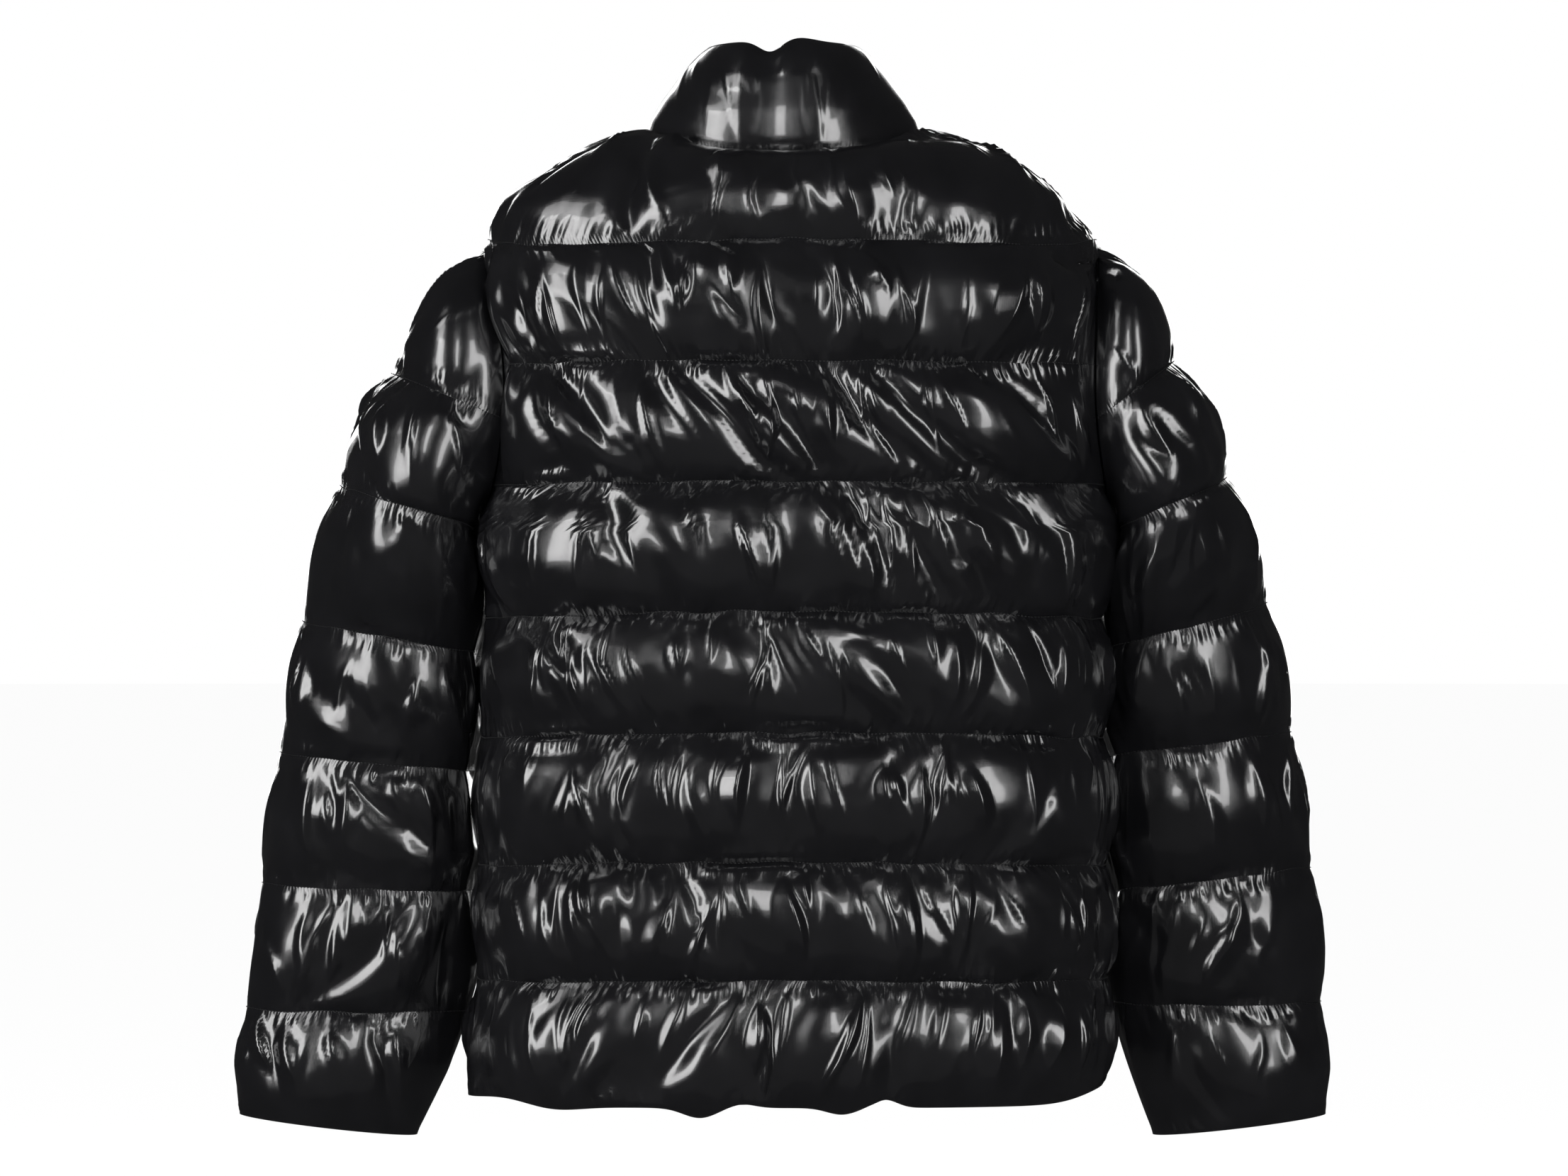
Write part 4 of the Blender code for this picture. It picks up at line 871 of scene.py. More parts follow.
def sleeve_facing(places, crown_start):
    """The share of the loft round the sleeve: least beside the trunk."""
    round_it = np.linspace(0, 1, SLEEVE_COLUMNS + 1)
    least, more, rounding = SLEEVE_LOFT
    facing = least + more * np.abs(np.sin(2 * math.pi * round_it)) ** rounding
    inside = 1 - smooth(np.minimum(round_it, 1 - round_it) / SLEEVE_BESIDE)
    usual, at_crown, over = SLEEVE_PRESS
    crown_share = np.clip((places - crown_start) / over, 0, 1)[:, None]
    return facing * (1 - (usual + at_crown * crown_share) * inside)


def sleeve_panel(side, rings, crown, back, front, sizes):
    """One sleeve. back and front are the trunk's panels on its side."""
    ends = (0, 1), (-1, -2)
    back_end, front_end = ends if side > 0 else ends[::-1]
    holes = Armhole(back, side, *back_end), Armhole(front, side, *front_end)
    base, places, ring_count = sleeve_rows(side, rings, crown, *holes)
    trunk = TrunkSide(side, back, front)
    round_it = np.linspace(0, 1, SLEEVE_COLUMNS + 1)
    off_seam = smooth(np.minimum(round_it, 1 - round_it) / INNER_SEAM)
    part = smooth((base[ring_count - 1, 0, 2] - base[:, 0, 2]) / INNER_RISE)
    part = np.maximum(part[:, None], 0.5 * off_seam)
    gap = ARMHOLE_GAP + (SLEEVE_CLEARANCE - ARMHOLE_GAP) * part
    soft = PRESS_SOFTNESS * (0.1 + 0.9 * part)
    below = slice(0, ring_count - 1), slice(None)
    above = slice(ring_count - 1, len(base) - TOP_STEPS - 1), slice(1, -1)
    for area in (below, above):
        base[area] = clear_of_trunk(base[area], side, trunk, gap[area], soft[area])
    if side > 0:
        base = base[:, ::-1].copy()
    wander(base, places, places[ring_count - 1] + 0.6, 4.1 + side)
    out = outward(base)
    shared = unit(out[:ring_count, 0] + out[:ring_count, -1])
    out[:ring_count, 0] = out[:ring_count, -1] = shared
    facing = sleeve_facing(places, len(rings))
    rise = sizes.sleeve_rise * baffle_loft(places)[:, None] * facing
    held_in, start, over = SLEEVE_HELD_IN
    held_out, over_out = SLEEVE_HELD_OUT
    inside = 1 - smooth((np.minimum(round_it, 1 - round_it) - start) / over)
    outside = 1 - smooth(np.abs(round_it - 0.5) / over_out)
    room = sizes.room * (1 - held_in * inside) * (1 - held_out * outside) * np.ones_like(rise)
    return Panel(base, out, places, rise, room, SLEEVE_LEAN, ring_count)


# ---------------------------------------------------------------- collar
def collar_top(face, side, shares):
    """The collar's top edge from the centre line to the side of the neck."""
    across, along = quarter(math.pi / 2, TOP_BACK_ROUND if face > 0 else TOP_FRONT_ROUND)
    middle = COLLAR_TOP_BACK if face > 0 else COLLAR_TOP_FRONT
    y = COLLAR_TOP_SIDE[0] + (middle[0] - COLLAR_TOP_SIDE[0]) * along
    z = COLLAR_TOP_SIDE[1] + (middle[1] - COLLAR_TOP_SIDE[1]) * along
    points = np.stack([side * COLLAR_TOP_HALF_WIDTH * across, y, z], axis=1)
    return spread(points if face > 0 else from_zip(points, side), shares)


def collar_ring(height):
    """The collar's middle surface, from the left front edge round to the right one."""
    shares = np.linspace(0, 1, COLLAR_COLUMNS + 1)
    halves = []
    for side in (1, -1):
        low, top = (
            np.concatenate([row(-1, side, shares), row(1, side, shares)[::-1][1:]])
            for row in (neck_row, collar_top)
        )
        halves.append(low + (top - low) * height)
    return np.concatenate([halves[0], halves[1][::-1][1:]])


def collar_panel(sizes):
    """The stand collar, as one baffle."""
    heights = np.linspace(COLLAR_ROWS[0][0], 1.0, COLLAR_FINE_ROWS + 1)
    base = np.array([collar_ring(height) for height in heights])
    out = outward(base)
    for col in (0, -1):
        out[:, col, 0] = 0
    out = unit(out)
    known = [row[0] for row in COLLAR_ROWS]
    outside, inside = (
        np.interp(heights, known, [row[k] for row in COLLAR_ROWS])[:, None] for k in (1, 2)
    )
    pinch = edge_pinch(base.shape[1] - 1, 0.0, 0.0, EDGE_REACH)
    facing = COLLAR_SIDE_LOFT + (1 - COLLAR_SIDE_LOFT) * np.abs(out[:, :, 1]) ** 2
    rise = sizes.collar_rise * outside * pinch * facing
    behind = base[:, :, 1] > 0
    rise += behind * fold_relief(base[:, :, 0], heights, COLLAR_FOLDS) * np.sqrt(outside * pinch)
    base[:, :, 2] += gathers(base[:, :, 0], COLLAR_PINCH) * behind * heights[:, None] ** 3
    room = COLLAR_ROOM * sizes.room * np.ones_like(rise)
    places = heights.copy()
    places[0] = 0.0
    panel = Panel(base, out, places, rise, room, (0.0,))
    panel.grain, panel.slackness, panel.roughness, panel.creases = 4.0, 0.0, 0.03, 0.3
    panel.evenly = False
    panel.depth = COLLAR_DEPTH[0] + COLLAR_DEPTH[1] * inside * pinch
    return panel


# ---------------------------------------------------------------- gathering and filling
def window_of(cols, reach=ROW_REACH):
    """1 along a row, and 0 at its two ends."""
    t = np.linspace(0, 1, cols)
    return smooth(np.minimum(t, 1 - t) / reach)


def crumple(panel, seed):
    """Noise (-1 to 1) over a panel, drawn out along its wrinkles."""
    field = np.zeros(panel.base.shape[:2])
    usual, least, most = LOUDNESS
    for row, (run, place) in enumerate(zip(panel.run, panel.places)):
        for col, x in enumerate(run + panel.lean_at(place) * BAFFLE * (place % 1.0)):
            broad, fine, calm = (
                wave(x / (wide * grain), place / tall, seed + shift)
                for (wide, tall, _), grain, shift in (
                    (BROAD_WAVE, panel.grain, 0.0), (FINE_WAVE, panel.grain, 40.0),
                    (CALM_WAVE, 1.0, 70.0),
                )
            )
            loud = min(max(usual + CALM_WAVE[2] * calm, least), most)
            field[row, col] = (BROAD_WAVE[2] * broad + FINE_WAVE[2] * fine) * loud
    return panel.roughness * field * window_of(field.shape[1])


def slack(panel, seed):
    """How unevenly a row's cloth is gathered along it, in metres."""
    field = np.zeros(panel.base.shape[:2])
    for row, place in enumerate(panel.places):
        for col, x in enumerate(run_along(panel.base[row])):
            shared = wave(x / SLACK_WAVE, math.floor(place) * 3.7, seed)
            own = wave(x / SLACK_WAVE, place / 0.6, seed + 9.0)
            field[row, col] = 0.5 * shared + 0.8 * own
    return SLACK * panel.roughness * field


def cut_shape(panel, sewn, gather, seed):
    """The panel before it is gathered: longer along its rows, and leaning."""
    cols = sewn.shape[1]
    evenly = np.linspace(0, 1, cols)
    window = window_of(cols, CUT_REACH)
    uneven = slack(panel, seed)
    leans = np.array([panel.lean_at(place) for place in panel.places])
    drifts = -np.cumsum(leans * BAFFLE * LEAN_SHARE * np.diff(panel.places, prepend=0.0))
    drifts -= np.mean(drifts)
    cut = np.empty_like(sewn)
    for row, points in enumerate(sewn):
        run = run_along(points)
        spaced = evenly if panel.evenly else run / run[-1]
        shares = spaced + window * (uneven[row] - drifts[row]) / run[-1]
        centre = points.mean(axis=0)
        cut[row] = centre + (1 + gather) * (spread(points, np.sort(shares)) - centre)
        cut[row, :, 2] = points[:, 2]
    return cut


def add_sheet(made, points):
    """Adds a sheet of quads to a mesh and moves its vertices to rows of points."""
    rows, cols = points.shape[:2]
    verts = bmesh.ops.create_grid(
        made, x_segments=cols - 1, y_segments=rows - 1, size=1.0
    )["verts"]
    for vert, point in zip(verts, points.reshape(-1, 3)):
        vert.co = point
    return verts


def mesh_object(name, made):
    """An object of a mesh, at the origin."""
    mesh = bpy.data.meshes.new(name)
    made.to_mesh(mesh)
    made.free()
    obj = bpy.data.objects.new(name, mesh)
    bpy.context.scene.collection.objects.link(obj)
    return obj


def sewing(cut, sewn, held, steps):
    """The cut cloth as an object that is drawn in to its sewn shape, frame by frame. The
    held points follow that shape."""
    made = bmesh.new()
    add_sheet(made, cut)
    obj = mesh_object("cut_cloth", made)
    obj.shape_key_add(name="cut")
    key = obj.shape_key_add(name="sewn")
    key.data.foreach_set("co", sewn.reshape(-1))
    for value, at in ((0.0, 1), (1.0, int(steps * SEWN_AT))):
        key.value = value
        key.keyframe_insert("value", frame=at)
    group = obj.vertex_groups.new(name="sewn")
    group.add([int(i) for i in np.flatnonzero(held)], 1.0, "REPLACE")
    return obj


def fill(obj, sizes):
    """Gives the cut cloth its padding: pressure from inside while it is drawn in."""
    cloth = obj.modifiers.new("padding", "CLOTH")
    cloth.point_cache.frame_start = 1
    cloth.point_cache.frame_end = sizes.steps
    cloth.collision_settings.use_collision = False
    cloth.collision_settings.use_self_collision = False
    settings = cloth.settings
    settings.vertex_group_mass = "sewn"
    for name, value in CLOTH.items():
        setattr(settings, name, value)
    settings.uniform_pressure_force = sizes.pressure
    settings.effector_weights.gravity = 0


def filled(panel, sizes, seed):
    """The panel's outer points once it is gathered into its quilting lines and filled."""
    height = panel.rise * (1 + UNEVENNESS * crumple(panel, seed))
    sewn = panel.base + height[:, :, None] * panel.out
    held = np.zeros(sewn.shape[:2], bool)
    held[panel.lines] = True
    held[:, 0] = held[:, -1] = True
    cut = cut_shape(panel, sewn, sizes.gather * panel.slackness, seed)
    obj = sewing(cut, sewn, held, sizes.steps)
    fill(obj, sizes)
    scene, mesh = bpy.context.scene, obj.data
    for step in range(1, sizes.steps + 1):
        scene.frame_set(step)
    shown = obj.evaluated_get(bpy.context.evaluated_depsgraph_get()).data
    found = np.empty(sewn.size)
    shown.vertices.foreach_get("co", found)
    bpy.data.actions.remove(mesh.shape_keys.animation_data.action)
    bpy.data.objects.remove(obj)
    bpy.data.meshes.remove(mesh)
    scene.frame_set(1)
    return held_back(panel, found.reshape(sewn.shape))


def calmed(points):
    """Smooths the narrowest waves out of each row."""
    for _ in range(CALMINGS):
        beside = points[:, :-2] + points[:, 2:]
        points[:, 1:-1] = 0.5 * points[:, 1:-1] + 0.25 * beside
    return points


def doubled(grid, breaks=()):
    """Twice as many rows, on smooth curves that don't run across the rows in breaks."""
    before, after = grid[:-1], grid[1:]
    back = np.concatenate([[2 * grid[0] - grid[1]], grid[:-2]])
    ahead = np.concatenate([grid[2:], [2 * grid[-1] - grid[-2]]])
    for row in breaks:
        if row < len(grid) - 1:
            back[row] = 2 * grid[row] - grid[row + 1]
        if row > 0:
            ahead[row - 1] = 2 * grid[row] - grid[row - 1]
    fine = np.empty((2 * len(grid) - 1, *grid.shape[1:]))
    fine[::2] = grid
    fine[1::2] = (9 * (before + after) - back - ahead) / 16
    return fine


def finer(panel, points):
    """The panel and its filled points with twice as many rows and columns."""
    def both(values):
        return doubled(doubled(values, panel.lines).swapaxes(0, 1)).swapaxes(0, 1)

    places = np.empty(2 * len(panel.places) - 1)
    places[::2] = panel.places
    places[1::2] = (panel.places[:-1] + panel.places[1:]) / 2
    rings = 2 * panel.rings - 1 if panel.rings else 0
    fine = Panel(both(panel.base), unit(both(panel.out)), places,
                 np.maximum(both(panel.rise), 0), both(panel.room), panel.lean, rings)
    fine.roughness, fine.creases = panel.roughness, panel.creases
    if panel.depth is not None:
        fine.depth = both(panel.depth)
    return fine, both(points)


def creased(panel, points, seed):
    """Adds straight, sharp creases that run up and down each baffle and taper to points."""
    draw = np.random.default_rng(int(seed * 10))
    run = panel.run
    lift = np.zeros(points.shape[:2])
    for baffle in range(len(panel.lean)):
        rows = (panel.places > baffle) & (panel.places < baffle + 1)
        share_up = (panel.places[rows] - baffle)[:, None]
        half_row = np.abs(run[rows]).max()
        lean = panel.lean[baffle]
        at = -half_row
        while at < half_row:
            at += draw.choice(CREASE_STEPS) * draw.uniform(0.8, 1.2)
            high = draw.uniform(*CREASE_TOPS)
            low = high - draw.uniform(*CREASE_LENGTHS)
            half = CREASE_HALF[0] + CREASE_HALF[1] * draw.uniform() ** 2
            steep = draw.uniform(*CREASE_STEEPNESS)
            skew = draw.uniform(*CREASE_SKEW)
            slant = (0.5 * lean + draw.normal(0.0, CREASE_TURN)) * BAFFLE * (high - low)
            part = np.clip((share_up - low) / (high - low), 0, 1)
            taper = np.sin(math.pi * part) ** 0.8
            off = (run[rows] - at - slant * (0.5 - part)) / (half * np.maximum(taper, 0.05))
            flank = np.where(off > 0, off / (2 * skew), -off / (2 - 2 * skew))
            lift[rows] += half * steep * taper * np.maximum(1 - flank, 0)
    fade = window_of(points.shape[1]) * np.clip(panel.rise / CREASE_RISE, 0, 1)
    return points + (panel.creases * lift * fade)[:, :, None] * panel.out


def puckered(panel, points, seed):
    """Adds the small puckers that stitching draws up beside a quilting line."""
    lift = np.zeros(points.shape[:2])
    for row, place in enumerate(panel.places):
        off = place - round(place)
        near = math.exp(-(((abs(off) - PUCKER_AWAY) / PUCKER_REACH) ** 2))
        if abs(off) < 1e-6 or near < 0.05:
            continue
        level = round(place) * 2.3 + (0.8 if off > 0 else 0.0)
        for col, x in enumerate(run_along(panel.base[row])):
            lift[row, col] = PUCKER_LIFT * near * wave(x / PUCKER_WAVE, level, seed)
    fade = window_of(points.shape[1]) * np.clip(panel.rise / PUCKER_RISE, 0, 1)
    return points + (panel.roughness * lift * fade)[:, :, None] * panel.out


def held_back(panel, points):
    """Keeps a filled shell near its solid: its height is capped."""
    height = np.sum((points - panel.base) * panel.out, axis=2)
    most = panel.rise + panel.room * np.clip(panel.rise / FULL_ROOM_RISE, 0, 1)
    over = CAP_SOFTNESS * np.logaddexp(0, (height - most) / CAP_SOFTNESS)
    under = np.maximum(LEAST_LOFT * panel.rise - height, 0)
    return points + (under - over * (panel.rise > 0))[:, :, None] * panel.out


# ---------------------------------------------------------------- panels as pieces
def lay_uv(made, verts, cols, run, places, layer):
    """Lays a UV map in metres: along the row, and up in steps of a usual baffle."""
    at = {vert: divmod(index, cols) for index, vert in enumerate(verts)}
    for face in {face for vert in verts for face in vert.link_faces}:
        for loop in face.loops:
            row, col = at[loop.vert]
            loop[layer].uv = (run[row, col], places[row] * BAFFLE)


def kept(count, step, also=()):
    """Every step-th of count rows, the last, and any others that are needed."""
    return sorted({*range(0, count, step), count - 1, *also})


def mark_seams(made, shell, cols, lines):
    """Breaks the shading along the quilting lines."""
    row_of = {vert: index // cols for index, vert in enumerate(shell)}
    for edge in made.edges:
        first, second = (row_of[vert] for vert in edge.verts)
        if first == second and first in lines:
            edge.smooth = False


def end_verts(verts, cols):
    """The first and the last vertex of each of a sheet's rows."""
    return [vert for index, vert in enumerate(verts) if index % cols in (0, cols - 1)]


def close_wall(made, low_row):
    """Joins the shell's rims to the lining's: the rim of the low row first, where there is
    one, and then all that is left."""
    rims = [edge for edge in made.edges if edge.is_boundary]
    if low_row:
        cuff = [edge for edge in rims if low_row.issuperset(edge.verts)]
        rims = [edge for edge in rims if not low_row.issuperset(edge.verts)]
        bmesh.ops.bridge_loops(made, edges=cuff)
    bmesh.ops.bridge_loops(made, edges=rims)
    bmesh.ops.recalc_face_normals(made, faces=made.faces)


def panel_piece(name, panel, outer, depth, materials):
    """A closed wall: the filled shell, a plain inside and the rims between them."""
    made = bmesh.new()
    uv = made.loops.layers.uv.new("cloth")
    rows, cols = outer.shape[:2]
    shell = add_sheet(made, outer)
    lay_uv(made, shell, cols, panel.run, panel.places, uv)
    mark_seams(made, shell, cols, {int(row) for row in panel.lines} - {0, rows - 1})
    needed = [panel.rings - 1] if panel.rings else []
    pick_rows, pick_cols = kept(rows, LINING_STEP, needed), kept(cols, LINING_STEP)
    picked = np.ix_(pick_rows, pick_cols)
    lining = add_sheet(made, (panel.base - depth * panel.out)[picked][:, ::-1])
    run = panel.run[picked][:, ::-1]
    lay_uv(made, lining, len(pick_cols), run, panel.places[pick_rows], uv)
    for face in {face for vert in lining for face in vert.link_faces}:
        face.material_index = 1
    low_row = set()
    if panel.rings:
        low_row = {*shell[:cols], *lining[: len(pick_cols)]}
        ends = end_verts(shell, cols) + end_verts(lining, len(pick_cols))
        bmesh.ops.remove_doubles(made, verts=ends, dist=1e-6)
        low_row = {vert for vert in low_row if vert.is_valid}
    close_wall(made, low_row)
    return piece(name, made, materials)


def piece(name, made, materials):
    """A smooth-shaded object of a mesh, at the origin, with its finishes."""
    obj = mesh_object(name, made)
    obj.data.polygons.foreach_set("use_smooth", [True] * len(obj.data.polygons))
    for material in materials:
        obj.data.materials.append(material)
    return obj


# ---------------------------------------------------------------- materials
def math_node(tree, operation, *values):
    """What a Math node makes of numbers and sockets."""
    node = tree.nodes.new("ShaderNodeMath")
    node.operation = operation
    for socket, value in zip(node.inputs, values):
        if isinstance(value, (int, float)):
            socket.default_value = value
        else:
            tree.links.new(value, socket)
    return node.outputs[0]


def parts_of(tree, vector):
    """A vector's first two parts: across and up the cloth."""
    node = tree.nodes.new("ShaderNodeSeparateXYZ")
    tree.links.new(vector, node.inputs[0])
    return node.outputs[0], node.outputs[1]


def joined(tree, *parts):
    """A vector from its parts."""
    node = tree.nodes.new("ShaderNodeCombineXYZ")
    for socket, part in zip(node.inputs, parts):
        tree.links.new(part, socket)
    return node.outputs[0]


def noise_node(tree, vector, detail, **values):
    """A noise texture that reads a vector as it is."""
    node = tree.nodes.new("ShaderNodeTexNoise")
    node.inputs["Scale"].default_value = 1.0
    node.inputs["Detail"].default_value = detail
    for socket, value in values.items():
        node.inputs[socket].default_value = value
    tree.links.new(vector, node.inputs["Vector"])
    return node.outputs["Fac"]


def ripples(tree, place, pitch, turn):
    """Ripples, 0 to 1, that turn by so many radians for each pitch."""
    turns = math_node(tree, "DIVIDE", place, pitch)
    swing = math_node(tree, "SINE", math_node(tree, "MULTIPLY", turns, turn))
    return math_node(tree, "ABSOLUTE", swing)


def fading(tree, away, reach):
    """1 at a seam and 0 from its reach on."""
    share = math_node(tree, "DIVIDE", away, reach)
    return math_node(tree, "SUBTRACT", 1.0, math_node(tree, "MINIMUM", share, 1.0))


def weave_height(tree, given):
    """Ripstop weave: fine threads both ways with a heavier one at each pitch."""
    return math_node(tree, "MAXIMUM", *(
        math_node(tree, "POWER", ripples(tree, part, given["Pitch"], 2 * math.pi), 3.0)
        for part in parts_of(tree, given["Vector"])
    ))


def pucker_height(tree, given):
    """Fine puckers that run into a seam and fade away from it, and the stitches' beads."""
    across, up = parts_of(tree, given["Vector"])
    level = math_node(tree, "DIVIDE", up, given["Baffle"])
    off = math_node(tree, "PINGPONG", level, 0.5)
    away = math_node(tree, "MULTIPLY", off, given["Baffle"])
    drawn = joined(
        tree,
        math_node(tree, "DIVIDE", across, given["Width"]),
        math_node(tree, "DIVIDE", up, given["Length"]),
    )
    puckers = math_node(
        tree, "MULTIPLY", noise_node(tree, drawn, 2.0), fading(tree, away, given["Reach"])
    )
    close = fading(tree, away, given["Bead reach"])
    beads = math_node(
        tree, "MULTIPLY", ripples(tree, across, given["Stitch"], math.pi), close
    )
    beads = math_node(tree, "MULTIPLY", beads, given["Beads"])
    return math_node(tree, "ADD", puckers, beads)


def mottle_patches(tree, given):
    """Soft patches, 0 to 1, for uneven colour and gloss."""
    scaled = tree.nodes.new("ShaderNodeVectorMath")
    scaled.operation = "DIVIDE"
    tree.links.new(given["Vector"], scaled.inputs[0])
    tree.links.new(joined(tree, *[given["Size"]] * 3), scaled.inputs[1])
    stretched = tree.nodes.new("ShaderNodeMapRange")
    stretched.inputs["From Min"].default_value = 0.3
    stretched.inputs["From Max"].default_value = 0.7
    tree.links.new(noise_node(tree, scaled.outputs[0], 4.0), stretched.inputs["Value"])
    return stretched.outputs["Result"]


def crinkle_height(tree, given):
    """Fine creases, drawn out up and down the cloth."""
    drawn = joined(tree, *(
        math_node(tree, "DIVIDE", part, given[size])
        for part, size in zip(parts_of(tree, given["Vector"]), ("Width", "Length"))
    ))
    return noise_node(tree, drawn, 3.0, Roughness=0.45, Distortion=0.4)


# Each effect that several materials share: what works it out, its output, and its sizes.
EFFECTS = {
    "ripstop_weave": (weave_height, "Height", {"Pitch": 0.0011}),
    "seam_pucker": (pucker_height, "Height", {
        "Width": 0.004, "Length": 0.03, "Reach": 0.009, "Baffle": BAFFLE,
        "Stitch": 0.0027, "Bead reach": 0.005, "Beads": 0.35,
    }),
    "mottle": (mottle_patches, "Patches", {"Size": 0.03}),
    "crinkle": (crinkle_height, "Height", {"Width": 0.005, "Length": 0.035}),
}


def effect(name):
    """A shared effect's node group, built once, with its named sockets."""
    if name not in bpy.data.node_groups:
        work_out, result, given = EFFECTS[name]
        group = bpy.data.node_groups.new(name, "ShaderNodeTree")
        group.interface.new_socket("Vector", in_out="INPUT", socket_type="NodeSocketVector")
        for label, value in given.items():
            socket = group.interface.new_socket(
                label, in_out="INPUT", socket_type="NodeSocketFloat"
            )
            socket.default_value = value
        group.interface.new_socket(result, in_out="OUTPUT", socket_type="NodeSocketFloat")
        start, end = group.nodes.new("NodeGroupInput"), group.nodes.new("NodeGroupOutput")
        group.links.new(work_out(group, start.outputs), end.inputs[result])
    return bpy.data.node_groups[name]


def plain_material(name, base, roughness, **constants):
    """A material with its Principled shader; constants set the shader's own sockets."""
    material = bpy.data.materials.new(name)
    material.use_nodes = True
    shader = material.node_tree.nodes["Principled BSDF"]
    shader.inputs["Base Color"].default_value = (*base, 1)
    shader.inputs["Roughness"].default_value = roughness
    for socket, value in constants.items():
        shader.inputs[socket.replace("_", " ")].default_value = value
    return material, material.node_tree, shader


def use_effect(tree, name, vector, **values):
    """A shared effect in a material, fed with coordinates and given sizes."""
    node = tree.nodes.new("ShaderNodeGroup")
    node.node_tree = effect(name)
    tree.links.new(vector, node.inputs["Vector"])
    for socket, value in values.items():
        node.inputs[socket].default_value = value
    return node.outputs[0]


def mottle(tree, shader, vector, base, roughness, size, lighter, uneven):
    """Uneven colour and gloss on a material."""
    patches = use_effect(tree, "mottle", vector, Size=size)
    gloss = tree.nodes.new("ShaderNodeMapRange")
    gloss.inputs["To Min"].default_value = roughness * (1 - uneven)
    gloss.inputs["To Max"].default_value = roughness * (1 + uneven)
    tree.links.new(patches, gloss.inputs["Value"])
    tree.links.new(gloss.outputs["Result"], shader.inputs["Roughness"])
    tone = tree.nodes.new("ShaderNodeMix")
    tone.data_type = "RGBA"
    tone.inputs["A"].default_value = (*base, 1)
    tone.inputs["B"].default_value = (*[min(value * lighter, 1.0) for value in base], 1)
    tree.links.new(patches, tone.inputs["Factor"])
    tree.links.new(tone.outputs["Result"], shader.inputs["Base Color"])


def bump(tree, height, distance, strength, below=None):
    """A bump of a height field, over the normal of the one below it."""
    node = tree.nodes.new("ShaderNodeBump")
    node.inputs["Distance"].default_value = distance
    node.inputs["Strength"].default_value = strength
    tree.links.new(height, node.inputs["Height"])
    if below:
        tree.links.new(below, node.inputs["Normal"])
    return node.outputs["Normal"]


def cloth_material(name, base, roughness, pitch, weave, crinkle, pucker, **constants):
    """Woven cloth on a piece's UV map, with uneven colour and gloss. weave, crinkle and
    pucker are the strengths of its bumps."""
    material, tree, shader = plain_material(name, base, roughness, **constants)
    uv = tree.nodes.new("ShaderNodeUVMap")
    uv.uv_map = "cloth"
    where = uv.outputs["UV"]
    normal = bump(tree, use_effect(tree, "crinkle", where), CRINKLE_DEEP, crinkle)
    normal = bump(tree, use_effect(tree, "seam_pucker", where), PUCKER_DEEP, pucker, normal)
    threads = use_effect(tree, "ripstop_weave", where, Pitch=pitch)
    normal = bump(tree, threads, WEAVE_DEEP, weave, normal)
    tree.links.new(normal, shader.inputs["Normal"])
    mottle(tree, shader, where, base, roughness, size=0.04, lighter=1.6, uneven=0.18)
    return material


def hard_material(name, base, roughness, size, lighter, depth, **constants):
    """A hard or twisted finish on object coordinates, with a fine grain."""
    material, tree, shader = plain_material(name, base, roughness, **constants)
    where = tree.nodes.new("ShaderNodeTexCoord").outputs["Object"]
    mottle(tree, shader, where, base, roughness, size, lighter, uneven=0.25)
    grain = use_effect(tree, "mottle", where, Size=size / 6)
    normal = bump(tree, grain, depth, strength=0.5)
    tree.links.new(normal, shader.inputs["Normal"])
    return material


def materials(context):
    """The jacket's finishes, each made once."""
    if "materials" in MADE:
        return MADE["materials"]
    colours, sizes = context.scene.jacket_colours, context.scene.jacket_sizes
    pitch = sizes.weave_pitch
    MADE["materials"] = {
        "shell": cloth_material(
            "glossy_nylon", colours.shell, 0.17, pitch, weave=0.16, crinkle=0.03, pucker=0.25,
            IOR=1.53, Coat_Weight=0.5, Coat_Roughness=0.07,
        ),
        "lining": cloth_material(
            "plain_taffeta", colours.lining, 0.5, pitch, weave=0.25, crinkle=0.12, pucker=0.0,
            IOR=1.5,
        ),
        "tape": cloth_material(
            "woven_tape", colours.tape, 0.75, pitch * 0.7, weave=0.9, crinkle=0.0, pucker=0.0,
            IOR=1.5,
        ),
        "thread": hard_material(
            "polyester_thread", colours.thread, 0.5, size=0.002, lighter=1.5, depth=0.0001
        ),
        "teeth": hard_material(
            "moulded_teeth", colours.teeth, 0.35, size=0.01, lighter=1.4, depth=0.00002
        ),
        "metal": hard_material(
            "dark_metal", colours.metal, 0.28, size=0.006, lighter=1.8, depth=0.00002,
            Metallic=1.0,
        ),
        "floor": plain_material(
            "pale_floor", colours.floor, 1.0, Specular_IOR_Level=0.0
        )[0],
    }
    return MADE["materials"]


def panels(context):
    """Every panel's grid, worked out once."""
    if "panels" not in MADE:
        sizes = context.scene.jacket_sizes
        back = back_panel(sizes)
        left, right = front_panel(1, sizes), front_panel(-1, sizes)
        MADE["panels"] = {
            "back": back,
            "front_left": left,
            "front_right": right,
            "sleeve_left": sleeve_panel(1, LEFT_SLEEVE, LEFT_CROWN, back, left, sizes),
            "sleeve_right": sleeve_panel(-1, RIGHT_SLEEVE, RIGHT_CROWN, back, right, sizes),
            "collar": collar_panel(sizes),
        }
    return MADE["panels"]


